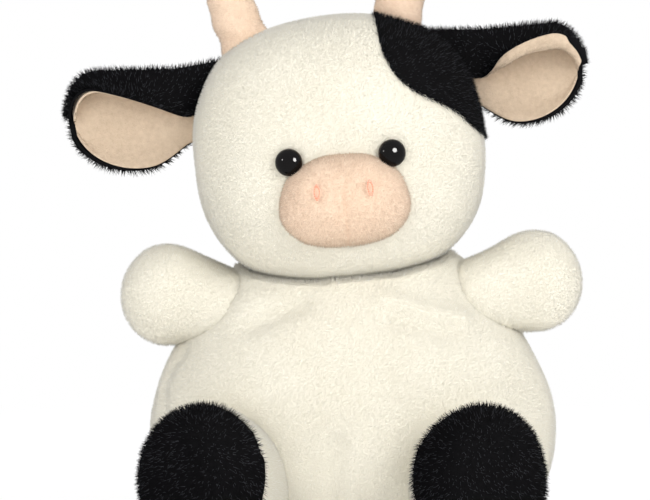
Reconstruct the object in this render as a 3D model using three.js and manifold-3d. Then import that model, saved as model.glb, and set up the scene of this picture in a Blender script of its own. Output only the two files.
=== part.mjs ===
// Seated plush cow: white minky body, black patch, ears and hooves, peach muzzle and horns
// Millimetres, +Z up, the toy faces -Y, and its own left is +X
// The origin is the middle of the flat seat that it sits on
import * as THREE from 'three';
import { mergeVertices } from 'three/addons/utils/BufferGeometryUtils.js';
import Module from 'manifold-3d';

const wasm = await Module();
wasm.setup();

// Fabric, thread and clearances
const fabric_wall = 1.4;
const ear_fabric = 1.7;
const lining_fabric = 1.2;
const fit_gap = 0.3;
const swing_gap = 0.45;
const filling_gap = 0.7;
const overrun = 20;

// Torso
const torso_half_width = 94;
const torso_half_depth = 62;
const torso_height = 142;
const torso_squareness_share = 2.15;
const seat_cut = 0.5;
// Width, depth and height of the pear's outline, as shares of the three sizes above
const torso_outline_shares = [
  [0, 0, 0], [0.42, 0.42, 0.001], [0.7, 0.7, 0.022], [0.885, 0.9, 0.11], [0.975, 0.99, 0.23],
  [1, 1, 0.36], [0.96, 0.97, 0.5], [0.865, 0.89, 0.64], [0.735, 0.78, 0.76], [0.61, 0.65, 0.87],
  [0.44, 0.48, 0.96], [0.22, 0.25, 0.995], [0, 0, 1],
];
const bag_half_width = 46;
const bag_half_depth = 33;
const bag_height = 24;
const bag_flank_share = 0.6;

// Head, and how it is carried
const head_half_width = 67;
const head_half_depth = 58;
const head_half_height = 62;
// Power of the head's rounding, and how much squarer it gets from its middle to its jowls
const head_roundness_share = 2.5;
const head_jowl_share = 0.15;
const head_centre_x = -6.5;
const head_above_torso = 38;
const head_centre_z = torso_height + head_above_torso;
const head_roll_deg = 5.3;
const nod_pivot_drop = 10;
const nod_limit_deg = 8;
const turn_limit_deg = 20;
const neck_radius = 25;
const neck_wad_depth = 22;
const head_room_share = 0.55;
const head_room_gap = 1.1;

// Black patch: directions of its edge from the head's centre, across and up, front then back
const patch_front_shares = [
  [0.33, 0.97], [0.33, 0.78], [0.36, 0.61], [0.42, 0.48], [0.53, 0.37], [0.67, 0.28], [0.81, 0.19], [0.93, 0.06],
];
const patch_back_shares = [[0.97, 0], [0.88, 0.2], [0.7, 0.46], [0.52, 0.7], [0.4, 0.9]];

// Muzzle and nostrils
const muzzle_half_width = 29;
const muzzle_half_height = 21.5;
const muzzle_proud = 16;
const muzzle_sunk_centre = 8;
const muzzle_drop = 22.5;
const muzzle_taper_share = 0.2;
const muzzle_roundness_share = 2.3;
const nostril_spread = 11.6;
const nostril_rise = 4.5;
const nostril_half_width = 1.7;
const nostril_half_height = 3.9;
const nostril_thread = 0.75;

// Eyes
const eye_radius = 6.1;
const eye_dome_height = 4.4;
const eye_seat_depth = 0.6;
const eye_spread = 22.9;
const eye_drop = 4;
const shank_radius = 1.9;
const shank_length = 9;
const shank_rib = 0.4;
const washer_radius = 8;
const washer_thickness = 1.6;

// Horns
const horn_base_radius = 11.6;
const horn_height = 37;
const horn_taper_share = 0.12;
const horn_tip_squareness_share = 3.4;
const horn_place_left_deg = 29;
const horn_place_right_deg = 35.5;
const horn_lean_deg = 8;
const horn_bow = 2.5;

// Ears
const ear_length_left = 49;
const ear_length_right = 54;
const ear_root_height = 36;
const ear_tongue_radius = 12.5;
const ear_fold_radius = 4.6;
const ear_rise_left = 21;
const ear_rise_right = 25;
const ear_fall = 27;
const ear_flap = 24;
const ear_open = 9;
const ear_curl = 5;
const ear_place_left_deg = 24;
const ear_place_right_deg = 20;
const ear_droop_deg = 5;
const ear_stand_off = 6;
const ear_down_deg = 8;
const ear_up_deg = 20;
// How the ear's section changes along its length, as shares and powers of the length
const ear_widening_share = 2.6;
const ear_top_rounding_share = 0.62;
const ear_low_rounding_share = 0.38;
const ear_tip_share = 0.993;
const ear_station_power_share = 1.8;
const ear_fold_tip_share = 0.65;
const ear_flap_limit_share = 0.96;
const ear_flap_fading_left_share = 0.38;
const ear_flap_fading_right_share = 0.75;
const ear_open_fading_share = 1.5;
// Points of the section between its lower edge and the fold
const ear_low_share = 0.62;
const ear_low_curl_share = 0.15;
const ear_middle_share = 0.4;
const ear_stations = 11;
const ear_steps = 11;

// Arms
const arm_root_radius = 18;
const arm_end_radius = 23;
const arm_length = 23;
const arm_root_x = 62;
const arm_below_top = 33;
const arm_root_z = torso_height - arm_below_top;
const arm_lift_left_deg = 24;
const arm_lift_right_deg = 8;
const arm_forward_deg = 20;
const arm_down_deg = 8;
const arm_up_deg = 20;
const arm_spare_deg = 1;

// Legs
const leg_root_radius = 26;
const leg_end_radius = 35;
const leg_narrow_share = 0.81;
const leg_length = 46;
const leg_root_x = 43;
const leg_root_y = -35;
const leg_splay_left_deg = 14;
const leg_splay_right_deg = 28;
const leg_up_deg = 15;
const hoof_seam_share = 1.04;
const sole_flat_share = 0.82;

// Tail
const tail_root_radius = 5.6;
const tail_radius = 5;
const tail_length = 40;
const tail_root_z = 42;
const tail_fall_deg = 38;
const tail_swing_deg = 25;
const tuft_radius = 8.5;
const tuft_length = 30;
const tuft_bulge_share = 0.8;
const tuft_fullness_share = 0.7;
const tail_outline_share = 0.4;

const whole_turn = 2 * Math.PI;
const up_axis = new THREE.Vector3(0, 0, 1);
const across_axis = new THREE.Vector3(1, 0, 0);
const back_axis = new THREE.Vector3(0, 1, 0);

const finishes = {
  white_plush: [0xf8f5e6, 0.95],
  black_plush: [0x1a1a1c, 0.85],
  peach_plush: [0xf7dabc, 0.95],
  stuffing: [0xf2f2ee, 1],
  pellet_cloth: [0xd9d4c4, 0.95],
  eye_plastic: [0x0b0908, 0.12],
  washer_plastic: [0xe6e6e2, 0.5],
  nostril_thread: [0xe0866a, 0.6],
};

// Closed surface between two poles; pointAt(turn, rise) takes shares from 0 to 1
function closedForm(sides, rows, pointAt) {
  const places = [pointAt(0, 0)];
  for (let row = 1; row < rows; row += 1) {
    for (let side = 0; side < sides; side += 1) {
      places.push(pointAt(side / sides, row / rows));
    }
  }
  places.push(pointAt(0, 1));
  const top = places.length - 1;
  const faces = [];
  for (let side = 0; side < sides; side += 1) {
    const next = (side + 1) % sides;
    faces.push(0, 1 + next, 1 + side);
    for (let row = 0; row < rows - 2; row += 1) {
      const low = 1 + row * sides;
      const high = low + sides;
      faces.push(low + side, low + next, high + next, low + side, high + next, high + side);
    }
    const last = 1 + (rows - 2) * sides;
    faces.push(last + side, last + next, top);
  }
  return indexedGeometry(places, faces);
}

function indexedGeometry(places, faces) {
  const geometry = new THREE.BufferGeometry();
  const numbers = places.flatMap((place) => [place.x, place.y, place.z]);
  geometry.setAttribute('position', new THREE.Float32BufferAttribute(numbers, 3));
  geometry.setIndex(faces);
  return geometry;
}

// A three.js geometry as a solid that can be cut and joined
function solidOf(geometry) {
  const bare = geometry.clone();
  bare.deleteAttribute('normal');
  bare.deleteAttribute('uv');
  const merged = mergeVertices(bare, fit_gap / 1000);
  const solid = new wasm.Manifold(new wasm.Mesh({
    numProp: 3,
    vertProperties: Float32Array.from(merged.attributes.position.array),
    triVerts: Uint32Array.from(merged.index.array),
  }));
  if (solid.volume() > 0) {
    return solid;
  }
  const order = merged.index.array;
  const flipped = [];
  for (let i = 0; i < order.length; i += 3) {
    flipped.push(order[i], order[i + 2], order[i + 1]);
  }
  return new wasm.Manifold(new wasm.Mesh({
    numProp: 3,
    vertProperties: Float32Array.from(merged.attributes.position.array),
    triVerts: Uint32Array.from(flipped),
  }));
}

function geometryOf(solid) {
  const mesh = solid.getMesh();
  const geometry = new THREE.BufferGeometry();
  const places = [];
  for (let i = 0; i < mesh.vertProperties.length; i += mesh.numProp) {
    places.push(mesh.vertProperties[i], mesh.vertProperties[i + 1], mesh.vertProperties[i + 2]);
  }
  geometry.setAttribute('position', new THREE.Float32BufferAttribute(places, 3));
  geometry.setIndex(Array.from(mesh.triVerts));
  return geometry;
}

// The largest of the solids that a cut leaves
function largestOf(solid) {
  const pieces = solid.decompose();
  return pieces.reduce((best, piece) => (piece.volume() > best.volume() ? piece : best));
}

function piece(name, solid, finish) {
  const [color, roughness] = finishes[finish];
  const material = new THREE.MeshStandardMaterial({ color, roughness, metalness: 0 });
  const mesh = new THREE.Mesh(geometryOf(largestOf(solid)), material);
  mesh.name = name;
  return mesh;
}

function moved(geometry, matrix) {
  return geometry.clone().applyMatrix4(matrix);
}

function turnAbout(pivot, axis, degrees) {
  return new THREE.Matrix4().makeTranslation(pivot)
    .multiply(new THREE.Matrix4().makeRotationAxis(axis, THREE.MathUtils.degToRad(degrees)))
    .multiply(new THREE.Matrix4().makeTranslation(pivot.clone().negate()));
}

// A ball whose facets lie outside the true sphere, for a seat that clears what turns in it
function outerBall(centre, radius, sides) {
  const rows = sides / 2;
  const outer = radius / Math.cos(Math.PI / sides) ** 2;
  const ball = new THREE.SphereGeometry(outer, sides, rows).rotateX(Math.PI / 2);
  return solidOf(ball.translate(centre.x, centre.y, centre.z));
}

// The space that a limb passes through: the ball about its pivot, and the rest of it at each stop
function limbRoom(limb, axis, stops, gap, sides) {
  const facet_gap = limb.end_radius * (1 - Math.cos(Math.PI / sides) ** 2);
  const rest = limbForm(limb, -gap - facet_gap, sides, sides / 2, true);
  return stops
    .map((degrees) => solidOf(moved(rest, turnAbout(limb.root, axis, degrees))))
    .reduce((whole, one) => whole.add(one), narrowed(outerBall(limb.root, limb.root_radius + gap, sides), limb, axis));
}

// Narrows a solid along an axis through the limb's root
function narrowed(solid, limb, axis) {
  const turn = new THREE.Quaternion().setFromUnitVectors(axis, across_axis);
  const onto = new THREE.Matrix4().makeRotationFromQuaternion(turn)
    .multiply(new THREE.Matrix4().makeTranslation(limb.root.clone().negate()));
  const squeeze = new THREE.Matrix4().makeScale(limb.narrow_share, 1, 1);
  return solid.transform(onto.clone().invert().multiply(squeeze).multiply(onto).toArray());
}

function cylinderAlong(from, to, radius, sides) {
  const length = from.distanceTo(to);
  const geometry = new THREE.CylinderGeometry(radius, radius, length, sides);
  const turn = new THREE.Quaternion().setFromUnitVectors(back_axis, to.clone().sub(from).normalize());
  geometry.applyQuaternion(turn);
  const middle = from.clone().add(to).multiplyScalar(0.5);
  return geometry.translate(middle.x, middle.y, middle.z);
}

function rounded(value, power) {
  return Math.sign(value) * Math.abs(value) ** power;
}

// Torso
const torso_curve = new THREE.CatmullRomCurve3(
  torso_outline_shares.map(([width, depth, height]) => new THREE.Vector3(width, depth, height)),
  false,
  'centripetal',
);

function torsoForm(inset, sides, rows) {
  const corner = 2 / torso_squareness_share;
  return closedForm(sides, rows, (turn, rise) => {
    const share = torso_curve.getPoint(rise);
    const angle = turn * whole_turn;
    return new THREE.Vector3(
      (torso_half_width - inset) * share.x * rounded(Math.cos(angle), corner),
      (torso_half_depth - inset) * share.y * rounded(Math.sin(angle), corner),
      inset - seat_cut + (torso_height + seat_cut - 2 * inset) * share.z,
    );
  });
}

// Everything below a level, to cut a flat
function belowLevel(level) {
  const span = 2 * (torso_half_width + leg_length + leg_end_radius);
  const block = new THREE.BoxGeometry(span, span, overrun);
  return solidOf(block.translate(0, 0, level - overrun / 2));
}

// Head, in its own frame: centre at the origin, upright, facing -Y
const head_frame = new THREE.Matrix4().makeTranslation(head_centre_x, 0, head_centre_z)
  .multiply(new THREE.Matrix4().makeRotationY(THREE.MathUtils.degToRad(-head_roll_deg)));
const head_frame_back = head_frame.clone().invert();
const nod_pivot = new THREE.Vector3(head_centre_x, 0, head_centre_z - nod_pivot_drop);

function headReach(direction, inset) {
  const shares = new THREE.Vector3(
    direction.x / (head_half_width - inset),
    direction.y / (head_half_depth - inset),
    direction.z / (head_half_height - inset),
  );
  const power = head_roundness_share - head_jowl_share * shares.z / shares.length();
  const sum = Math.abs(shares.x) ** power + Math.abs(shares.y) ** power + Math.abs(shares.z) ** power;
  return sum ** (-1 / power);
}

// Below 1 inside the head and above 1 outside it
function headLevel(point) {
  return point.length() / headReach(point.clone().normalize(), 0);
}

// Place on the head's front at a given offset from its middle, with its outward normal
function facePlace(across, rise) {
  const point = new THREE.Vector3(across, 0, rise);
  let near = 0;
  let far = head_half_depth;
  while (far - near > fit_gap / 1000) {
    point.y = -(near + far) / 2;
    if (headLevel(point) < 1) {
      near = -point.y;
    } else {
      far = -point.y;
    }
  }
  const slope = (axis) => headLevel(point.clone().addScaledVector(axis, fit_gap))
    - headLevel(point.clone().addScaledVector(axis, -fit_gap));
  const normal = new THREE.Vector3(slope(across_axis), slope(back_axis), slope(up_axis)).normalize();
  return { point, normal };
}

function sphereDirection(turn, rise) {
  const angle = turn * whole_turn;
  const polar = (1 - rise) * Math.PI;
  return new THREE.Vector3(
    Math.sin(polar) * Math.cos(angle),
    Math.sin(polar) * Math.sin(angle),
    Math.cos(polar),
  );
}

function headForm(inset, sides, rows) {
  return closedForm(sides, rows, (turn, rise) => {
    const direction = sphereDirection(turn, rise);
    return direction.clone().multiplyScalar(headReach(direction, inset));
  });
}

// Distance from the nod pivot to the head's surface, in a direction of the toy's frame
function reachFromPivot(direction) {
  const origin = nod_pivot.clone().applyMatrix4(head_frame_back);
  const ray = direction.clone().transformDirection(head_frame_back);
  let near = 0;
  let far = 2 * head_half_width;
  while (far - near > fit_gap / 1000) {
    const middle = (near + far) / 2;
    const point = origin.clone().addScaledVector(ray, middle);
    const inside = headLevel(point) < 1;
    near = inside ? middle : near;
    far = inside ? far : middle;
  }
  return far;
}

const head_stops = [-1, 0, 1].flatMap((turn) => [-1, 0, 1].map((nod) => (
  new THREE.Matrix4().makeRotationZ(THREE.MathUtils.degToRad(turn * turn_limit_deg))
    .multiply(new THREE.Matrix4().makeRotationX(THREE.MathUtils.degToRad(nod * nod_limit_deg)))
    .invert())));

function sweptReach(direction) {
  return Math.max(...head_stops.map((stop) => reachFromPivot(direction.clone().transformDirection(stop))));
}

// The room that the head needs at every turn and nod
function headRoom(gap) {
  return solidOf(closedForm(24, 9, (turn, rise) => {
    const direction = sphereDirection(turn, rise * head_room_share);
    const reach = rise < 1 ? sweptReach(direction) + gap : 0;
    return direction.multiplyScalar(reach).add(nod_pivot);
  }));
}

// A limb is a ball at the root and a ball at the end with a straight taper between them
// It is narrowed from side to side by a share, and a blunt one starts flat at the middle of its root ball
function limbForm(limb, inset, sides, rows, blunt = false) {
  const axis = limb.end.clone().sub(limb.root);
  const length = axis.length();
  axis.normalize();
  const side = new THREE.Vector3().crossVectors(axis, up_axis).normalize();
  const over = new THREE.Vector3().crossVectors(side, axis);
  const tilt = Math.asin((limb.end_radius - limb.root_radius) / length);
  const root_angle = Math.PI / 2 + tilt;
  const root_span = root_angle * limb.root_radius;
  const taper_span = length * Math.cos(tilt);
  const whole = root_span + taper_span + (Math.PI - root_angle) * limb.end_radius;
  const from = blunt ? root_span : 0;
  const first = blunt ? 1 / rows : 0;
  return closedForm(sides, rows, (turn, rise) => {
    const along = from + (rise - first) / (1 - first) * (whole - from);
    let reach = 0;
    let radius = 0;
    if (along < root_span) {
      const angle = along / limb.root_radius;
      reach = -Math.cos(angle) * (limb.root_radius - inset);
      radius = Math.sin(angle) * (limb.root_radius - inset);
    } else if (along < root_span + taper_span) {
      const share = (along - root_span) / taper_span;
      const ball = limb.root_radius + (limb.end_radius - limb.root_radius) * share - inset;
      reach = length * share - Math.sin(tilt) * ball;
      radius = Math.cos(tilt) * ball;
    } else {
      const angle = root_angle + (along - root_span - taper_span) / limb.end_radius;
      reach = length - Math.cos(angle) * (limb.end_radius - inset);
      radius = Math.sin(angle) * (limb.end_radius - inset);
    }
    const spin = turn * whole_turn;
    const wide = blunt && rise === 0 ? 0 : radius;
    return limb.root.clone()
      .addScaledVector(axis, blunt && rise === 0 ? 0 : reach)
      .addScaledVector(side, Math.cos(spin) * wide * limb.narrow_share)
      .addScaledVector(over, Math.sin(spin) * wide);
  });
}

const toy = new THREE.Group();
const head = new THREE.Group();
head.applyMatrix4(head_frame);
toy.add(head);

// Room that the limbs take in the torso's skin, and the wider room in its stuffing
const torso_cuts = [];
const torso_filling_cuts = [];

function cutTorso(limb, axis, stops) {
  torso_cuts.push(limbRoom(limb, axis, stops, swing_gap, 14));
  torso_filling_cuts.push(limbRoom(limb, axis, stops, filling_gap, 10));
}

function addArm(name, side, lift_deg) {
  const lift = THREE.MathUtils.degToRad(lift_deg);
  const forward = THREE.MathUtils.degToRad(arm_forward_deg);
  const root = new THREE.Vector3(side * arm_root_x, 0, arm_root_z);
  const end = root.clone().add(new THREE.Vector3(
    side * Math.cos(lift) * Math.cos(forward),
    -Math.sin(forward),
    Math.sin(lift),
  ).multiplyScalar(arm_length));
  const limb = { root, end, root_radius: arm_root_radius, end_radius: arm_end_radius, narrow_share: 1 };
  const form = (inset, sides, rows) => limbForm(limb, inset, sides, rows);
  const axis = end.clone().sub(root).normalize();
  const mouth = cylinderAlong(
    root.clone().addScaledVector(axis, -arm_root_radius - fabric_wall),
    root,
    arm_root_radius / 2,
    12,
  );
  const skin = solidOf(form(0, 16, 11)).subtract(solidOf(form(fabric_wall, 10, 7))).subtract(solidOf(mouth));
  const filling = solidOf(form(fabric_wall + fit_gap, 10, 7));
  toy.add(piece(`arm_skin_${name}`, skin, 'white_plush'));
  toy.add(piece(`arm_stuffing_${name}`, filling, 'stuffing'));
  const stops = [-arm_up_deg, 0, arm_down_deg + arm_spare_deg].map((degrees) => side * degrees);
  cutTorso(limb, back_axis, stops);
}

function addLeg(name, side, splay_deg) {
  const splay = THREE.MathUtils.degToRad(splay_deg);
  const root = new THREE.Vector3(side * leg_root_x, leg_root_y, leg_root_radius + fit_gap);
  const level = leg_end_radius - seat_cut - root.z;
  const flat = Math.sqrt(leg_length ** 2 - level ** 2);
  const end = root.clone().add(new THREE.Vector3(
    side * Math.sin(splay) * flat,
    -Math.cos(splay) * flat,
    level,
  ));
  const limb = {
    root,
    end,
    root_radius: leg_root_radius,
    end_radius: leg_end_radius,
    narrow_share: leg_narrow_share,
  };
  const form = (inset, sides, rows) => limbForm(limb, inset, sides, rows);
  const axis = end.clone().sub(root).normalize();
  const seam = root.clone().addScaledVector(axis, leg_length * hoof_seam_share);
  const sole = end.clone().addScaledVector(axis, leg_end_radius * sole_flat_share);
  const reach = 2 * leg_end_radius;
  const beyond = (from, gap) => solidOf(cylinderAlong(
    from.clone().addScaledVector(axis, gap),
    from.clone().addScaledVector(axis, gap + reach),
    reach,
    12,
  ));
  const mouth = cylinderAlong(
    root.clone().addScaledVector(axis, -leg_root_radius - fabric_wall),
    root,
    leg_root_radius / 2,
    12,
  );
  const hollow = solidOf(form(fabric_wall, 12, 8))
    .subtract(beyond(sole, -fabric_wall))
    .subtract(belowLevel(fabric_wall));
  const shell = solidOf(form(0, 18, 12)).subtract(belowLevel(0)).subtract(beyond(sole, 0)).subtract(hollow);
  const sleeve = shell.subtract(beyond(seam, -fit_gap / 2)).subtract(solidOf(mouth));
  const hoof = shell.intersect(beyond(seam, fit_gap / 2));
  const inner_gap = fabric_wall + fit_gap;
  const filling = solidOf(form(inner_gap, 12, 8))
    .subtract(beyond(sole, -inner_gap))
    .subtract(belowLevel(inner_gap));
  toy.add(piece(`leg_sleeve_${name}`, sleeve, 'white_plush'));
  toy.add(piece(`hoof_${name}`, hoof, 'black_plush'));
  toy.add(piece(`leg_stuffing_${name}`, filling, 'stuffing'));
  const hinge = new THREE.Vector3(Math.cos(splay), side * Math.sin(splay), 0);
  const stops = [0, -leg_up_deg];
  cutTorso(limb, hinge, stops);
}

function addTail() {
  const fall = THREE.MathUtils.degToRad(tail_fall_deg);
  const root_share = torso_curve.getPoint(tail_outline_share);
  const root = new THREE.Vector3(0, torso_half_depth * root_share.y - fabric_wall, tail_root_z);
  const axis = new THREE.Vector3(0, Math.cos(fall), -Math.sin(fall));
  const end = root.clone().addScaledVector(axis, tail_length);
  const tip = end.clone().addScaledVector(axis, tuft_length);
  const limb = { root, end, root_radius: tail_root_radius, end_radius: tail_radius, narrow_share: 1 };
  const side = across_axis;
  const over = new THREE.Vector3().crossVectors(side, axis);
  const tuft = closedForm(12, 8, (turn, rise) => {
    const radius = tuft_radius * Math.sin(Math.PI * rise ** tuft_bulge_share) ** tuft_fullness_share;
    const spin = turn * whole_turn;
    return end.clone().lerp(tip, rise)
      .addScaledVector(axis, -tail_radius)
      .addScaledVector(side, Math.cos(spin) * radius)
      .addScaledVector(over, Math.sin(spin) * radius);
  });
  toy.add(piece('tail', solidOf(limbForm(limb, 0, 12, 8)), 'white_plush'));
  const socket = limbForm(limb, -fit_gap, 12, 8);
  const tuft_solid = solidOf(tuft).subtract(solidOf(socket)).subtract(belowLevel(fit_gap));
  toy.add(piece('tail_tuft', tuft_solid, 'black_plush'));
  const stops = [-tail_swing_deg, 0, tail_swing_deg];
  cutTorso(limb, up_axis, stops);
}

function addTorso() {
  const inner = fabric_wall + fit_gap;
  const limbs = torso_cuts.reduce((whole, one) => whole.add(one));
  const filling_limbs = torso_filling_cuts.reduce((whole, one) => whole.add(one));
  const skin = solidOf(torsoForm(0, 30, 17))
    .subtract(belowLevel(0))
    .subtract(solidOf(torsoForm(fabric_wall, 20, 11)))
    .subtract(headRoom(head_room_gap))
    .subtract(limbs);
  toy.add(piece('torso_skin', skin, 'white_plush'));

  // The neck wad is round about the upright axis through the nod pivot, so that it can turn
  const rim = neckSeat() + fit_gap;
  const wad_top = nod_pivot.z - Math.sqrt(rim ** 2 - neck_radius ** 2);
  const facets = 18;
  const wad_foot = nod_pivot.clone().setZ(wad_top - neck_wad_depth);
  const wad = solidOf(cylinderAlong(wad_foot, nod_pivot, neck_radius, facets));
  const well_foot = wad_foot.clone().setZ(wad_foot.z - fit_gap);
  const well_radius = (neck_radius + fit_gap) / Math.cos(Math.PI / facets);
  const well = solidOf(cylinderAlong(well_foot, nod_pivot, well_radius, facets));
  const seat = outerBall(nod_pivot, rim, 24);
  toy.add(piece('neck_stuffing', wad.subtract(seat), 'stuffing'));

  // The stub of the head's stuffing swings to and fro over the wad
  const swing_foot = nod_pivot.clone().setZ(nod_pivot.z - rim);
  const swing_radius = neck_radius + rim * Math.sin(THREE.MathUtils.degToRad(nod_limit_deg)) + swing_gap;
  const swing = solidOf(cylinderAlong(swing_foot, nod_pivot, swing_radius, facets)).intersect(seat);

  const bagForm = (gap) => solidOf(closedForm(20, 8, (turn, rise) => {
    const angle = turn * whole_turn;
    const polar = (1 - rise) * Math.PI;
    const flank = Math.sin(polar) ** bag_flank_share;
    return new THREE.Vector3(
      (bag_half_width + gap) * flank * Math.cos(angle),
      (bag_half_depth + gap) * flank * Math.sin(angle),
      inner + bag_height / 2 + (bag_height / 2 + gap) * Math.cos(polar),
    );
  }));
  const bag = bagForm(0).subtract(belowLevel(inner)).subtract(filling_limbs);
  toy.add(piece('pellet_bag', bag, 'pellet_cloth'));

  const filling = solidOf(torsoForm(inner, 20, 11))
    .subtract(belowLevel(inner))
    .subtract(headRoom(head_room_gap + swing_gap))
    .subtract(filling_limbs)
    .subtract(well)
    .subtract(swing)
    .subtract(bagForm(fit_gap));
  toy.add(piece('torso_stuffing', filling, 'stuffing'));
}

// Radius about the nod pivot at which the head's stuffing meets the neck wad
function neckSeat() {
  const polar = Math.asin(neck_radius / (head_half_height - nod_pivot_drop));
  let reach = 0;
  for (let step = 0; step < 24; step += 1) {
    const angle = (step / 24) * whole_turn;
    const direction = new THREE.Vector3(
      Math.sin(polar) * Math.cos(angle),
      Math.sin(polar) * Math.sin(angle),
      -Math.cos(polar),
    );
    reach = Math.max(reach, sweptReach(direction));
  }
  return reach + swing_gap;
}

// Cuts that the eyes, ears and neck make in the head
const head_cuts = [];
const head_filling_cuts = [];

function addEye(name, side) {
  const { point, normal } = facePlace(side * eye_spread, -eye_drop);
  const base = point.clone().addScaledVector(normal, -eye_seat_depth);
  const profile = [new THREE.Vector2(0, eye_dome_height)];
  for (let step = 1; step <= 5; step += 1) {
    const angle = (step / 5) * (Math.PI / 2);
    profile.push(new THREE.Vector2(eye_radius * Math.sin(angle), eye_dome_height * Math.cos(angle)));
  }
  const neck_level = -fit_gap;
  profile.push(new THREE.Vector2(eye_radius, neck_level));
  profile.push(new THREE.Vector2(shank_radius, neck_level));
  const ribs = 3;
  const pitch = (shank_length - fabric_wall) / ribs;
  for (let rib = 0; rib < ribs; rib += 1) {
    const level = -fabric_wall - rib * pitch;
    profile.push(new THREE.Vector2(shank_radius, level));
    profile.push(new THREE.Vector2(shank_radius - shank_rib, level - pitch / 2));
  }
  profile.push(new THREE.Vector2(shank_radius, -shank_length));
  profile.push(new THREE.Vector2(0, -shank_length - shank_rib));
  const aim = new THREE.Quaternion().setFromUnitVectors(back_axis, normal);
  const place = (geometry) => geometry.applyQuaternion(aim).translate(base.x, base.y, base.z);
  head.add(piece(`eye_${name}`, solidOf(place(new THREE.LatheGeometry(profile, 12))), 'eye_plastic'));

  const seat = (radius, low, high, sides) => solidOf(cylinderAlong(
    base.clone().addScaledVector(normal, low),
    base.clone().addScaledVector(normal, high),
    radius,
    sides,
  ));
  head_cuts.push(seat(eye_radius + 2 * fit_gap, -2 * fit_gap, overrun, 12));
  head_cuts.push(seat(shank_radius + fit_gap, -overrun, overrun, 8));
  // The skin bows in under the washer, so the washer lies below the lowest part of the inner wall
  const under = fabric_wall + 2 * fit_gap + washer_radius ** 2 / (2 * head_half_depth);
  const washer = seat(washer_radius, -under - washer_thickness, -under, 12)
    .subtract(seat(shank_radius + fit_gap, -overrun, overrun, 8));
  head.add(piece(`eye_washer_${name}`, washer, 'washer_plastic'));
  head_filling_cuts.push(seat(washer_radius + 2 * fit_gap, -under - washer_thickness - fit_gap, overrun, 12));
  head_filling_cuts.push(seat(shank_radius + fit_gap, -shank_length - 3 * fit_gap, overrun, 8));
}

function addMuzzle() {
  const { point } = facePlace(0, -muzzle_drop);
  const centre = new THREE.Vector3(0, point.y + muzzle_sunk_centre, -muzzle_drop);
  const half_depth = muzzle_proud + muzzle_sunk_centre;
  const power = muzzle_roundness_share;
  const form = (inset, sides, rows) => solidOf(closedForm(sides, rows, (turn, rise) => {
    const direction = sphereDirection(turn, rise);
    const reach = (Math.abs(direction.x) ** power + Math.abs(direction.y) ** power
      + Math.abs(direction.z) ** power) ** (-1 / power);
    const narrow = 1 - muzzle_taper_share * reach * direction.z;
    return new THREE.Vector3(
      direction.x * reach * (muzzle_half_width - inset) * narrow,
      direction.y * reach * (half_depth - inset),
      direction.z * reach * (muzzle_half_height - inset),
    ).add(centre);
  }));
  const face = solidOf(headForm(-fit_gap, 28, 17));
  const lobes = [-1, 1].map((side) => {
    const { point: eye, normal } = facePlace(side * eye_spread, -eye_drop);
    const under = eye.clone().addScaledVector(normal, -2 * eye_seat_depth);
    return solidOf(cylinderAlong(under, eye.addScaledVector(normal, overrun), eye_radius + 2 * fit_gap, 12));
  });
  const clear = face.add(lobes[0]).add(lobes[1]);
  const nostrils = [-1, 1].map((side) => nostrilForm(side, centre, half_depth));
  const skin = form(0, 22, 13).subtract(form(fabric_wall, 14, 8)).subtract(clear);
  head.add(piece('muzzle_skin', skin, 'peach_plush'));
  head.add(piece('muzzle_stuffing', form(fabric_wall + fit_gap, 14, 8).subtract(clear), 'stuffing'));
  head.add(piece('nostril_left', nostrils[1], 'nostril_thread'));
  head.add(piece('nostril_right', nostrils[0], 'nostril_thread'));
}

// An upright oval loop of thread lying on the muzzle
function nostrilForm(side, centre, half_depth) {
  const power = muzzle_roundness_share;
  const across = nostril_spread / muzzle_half_width;
  const rise = nostril_rise / muzzle_half_height;
  const out = (1 - across ** power - rise ** power) ** (1 / power);
  const point = new THREE.Vector3(side * nostril_spread, centre.y - half_depth * out, centre.z + nostril_rise);
  const normal = new THREE.Vector3(
    side * across ** (power - 1) / muzzle_half_width,
    -(out ** (power - 1)) / half_depth,
    rise ** (power - 1) / muzzle_half_height,
  ).normalize();
  const loop = new THREE.TorusGeometry(1, nostril_thread / nostril_half_width, 5, 14);
  loop.scale(nostril_half_width, nostril_half_height, nostril_half_width);
  loop.rotateX(Math.PI / 2);
  loop.applyQuaternion(new THREE.Quaternion().setFromUnitVectors(back_axis.clone().negate(), normal));
  const stand = nostril_thread + 2 * fit_gap;
  const seat = point.addScaledVector(normal, stand);
  return solidOf(loop.translate(seat.x, seat.y, seat.z));
}

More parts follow.
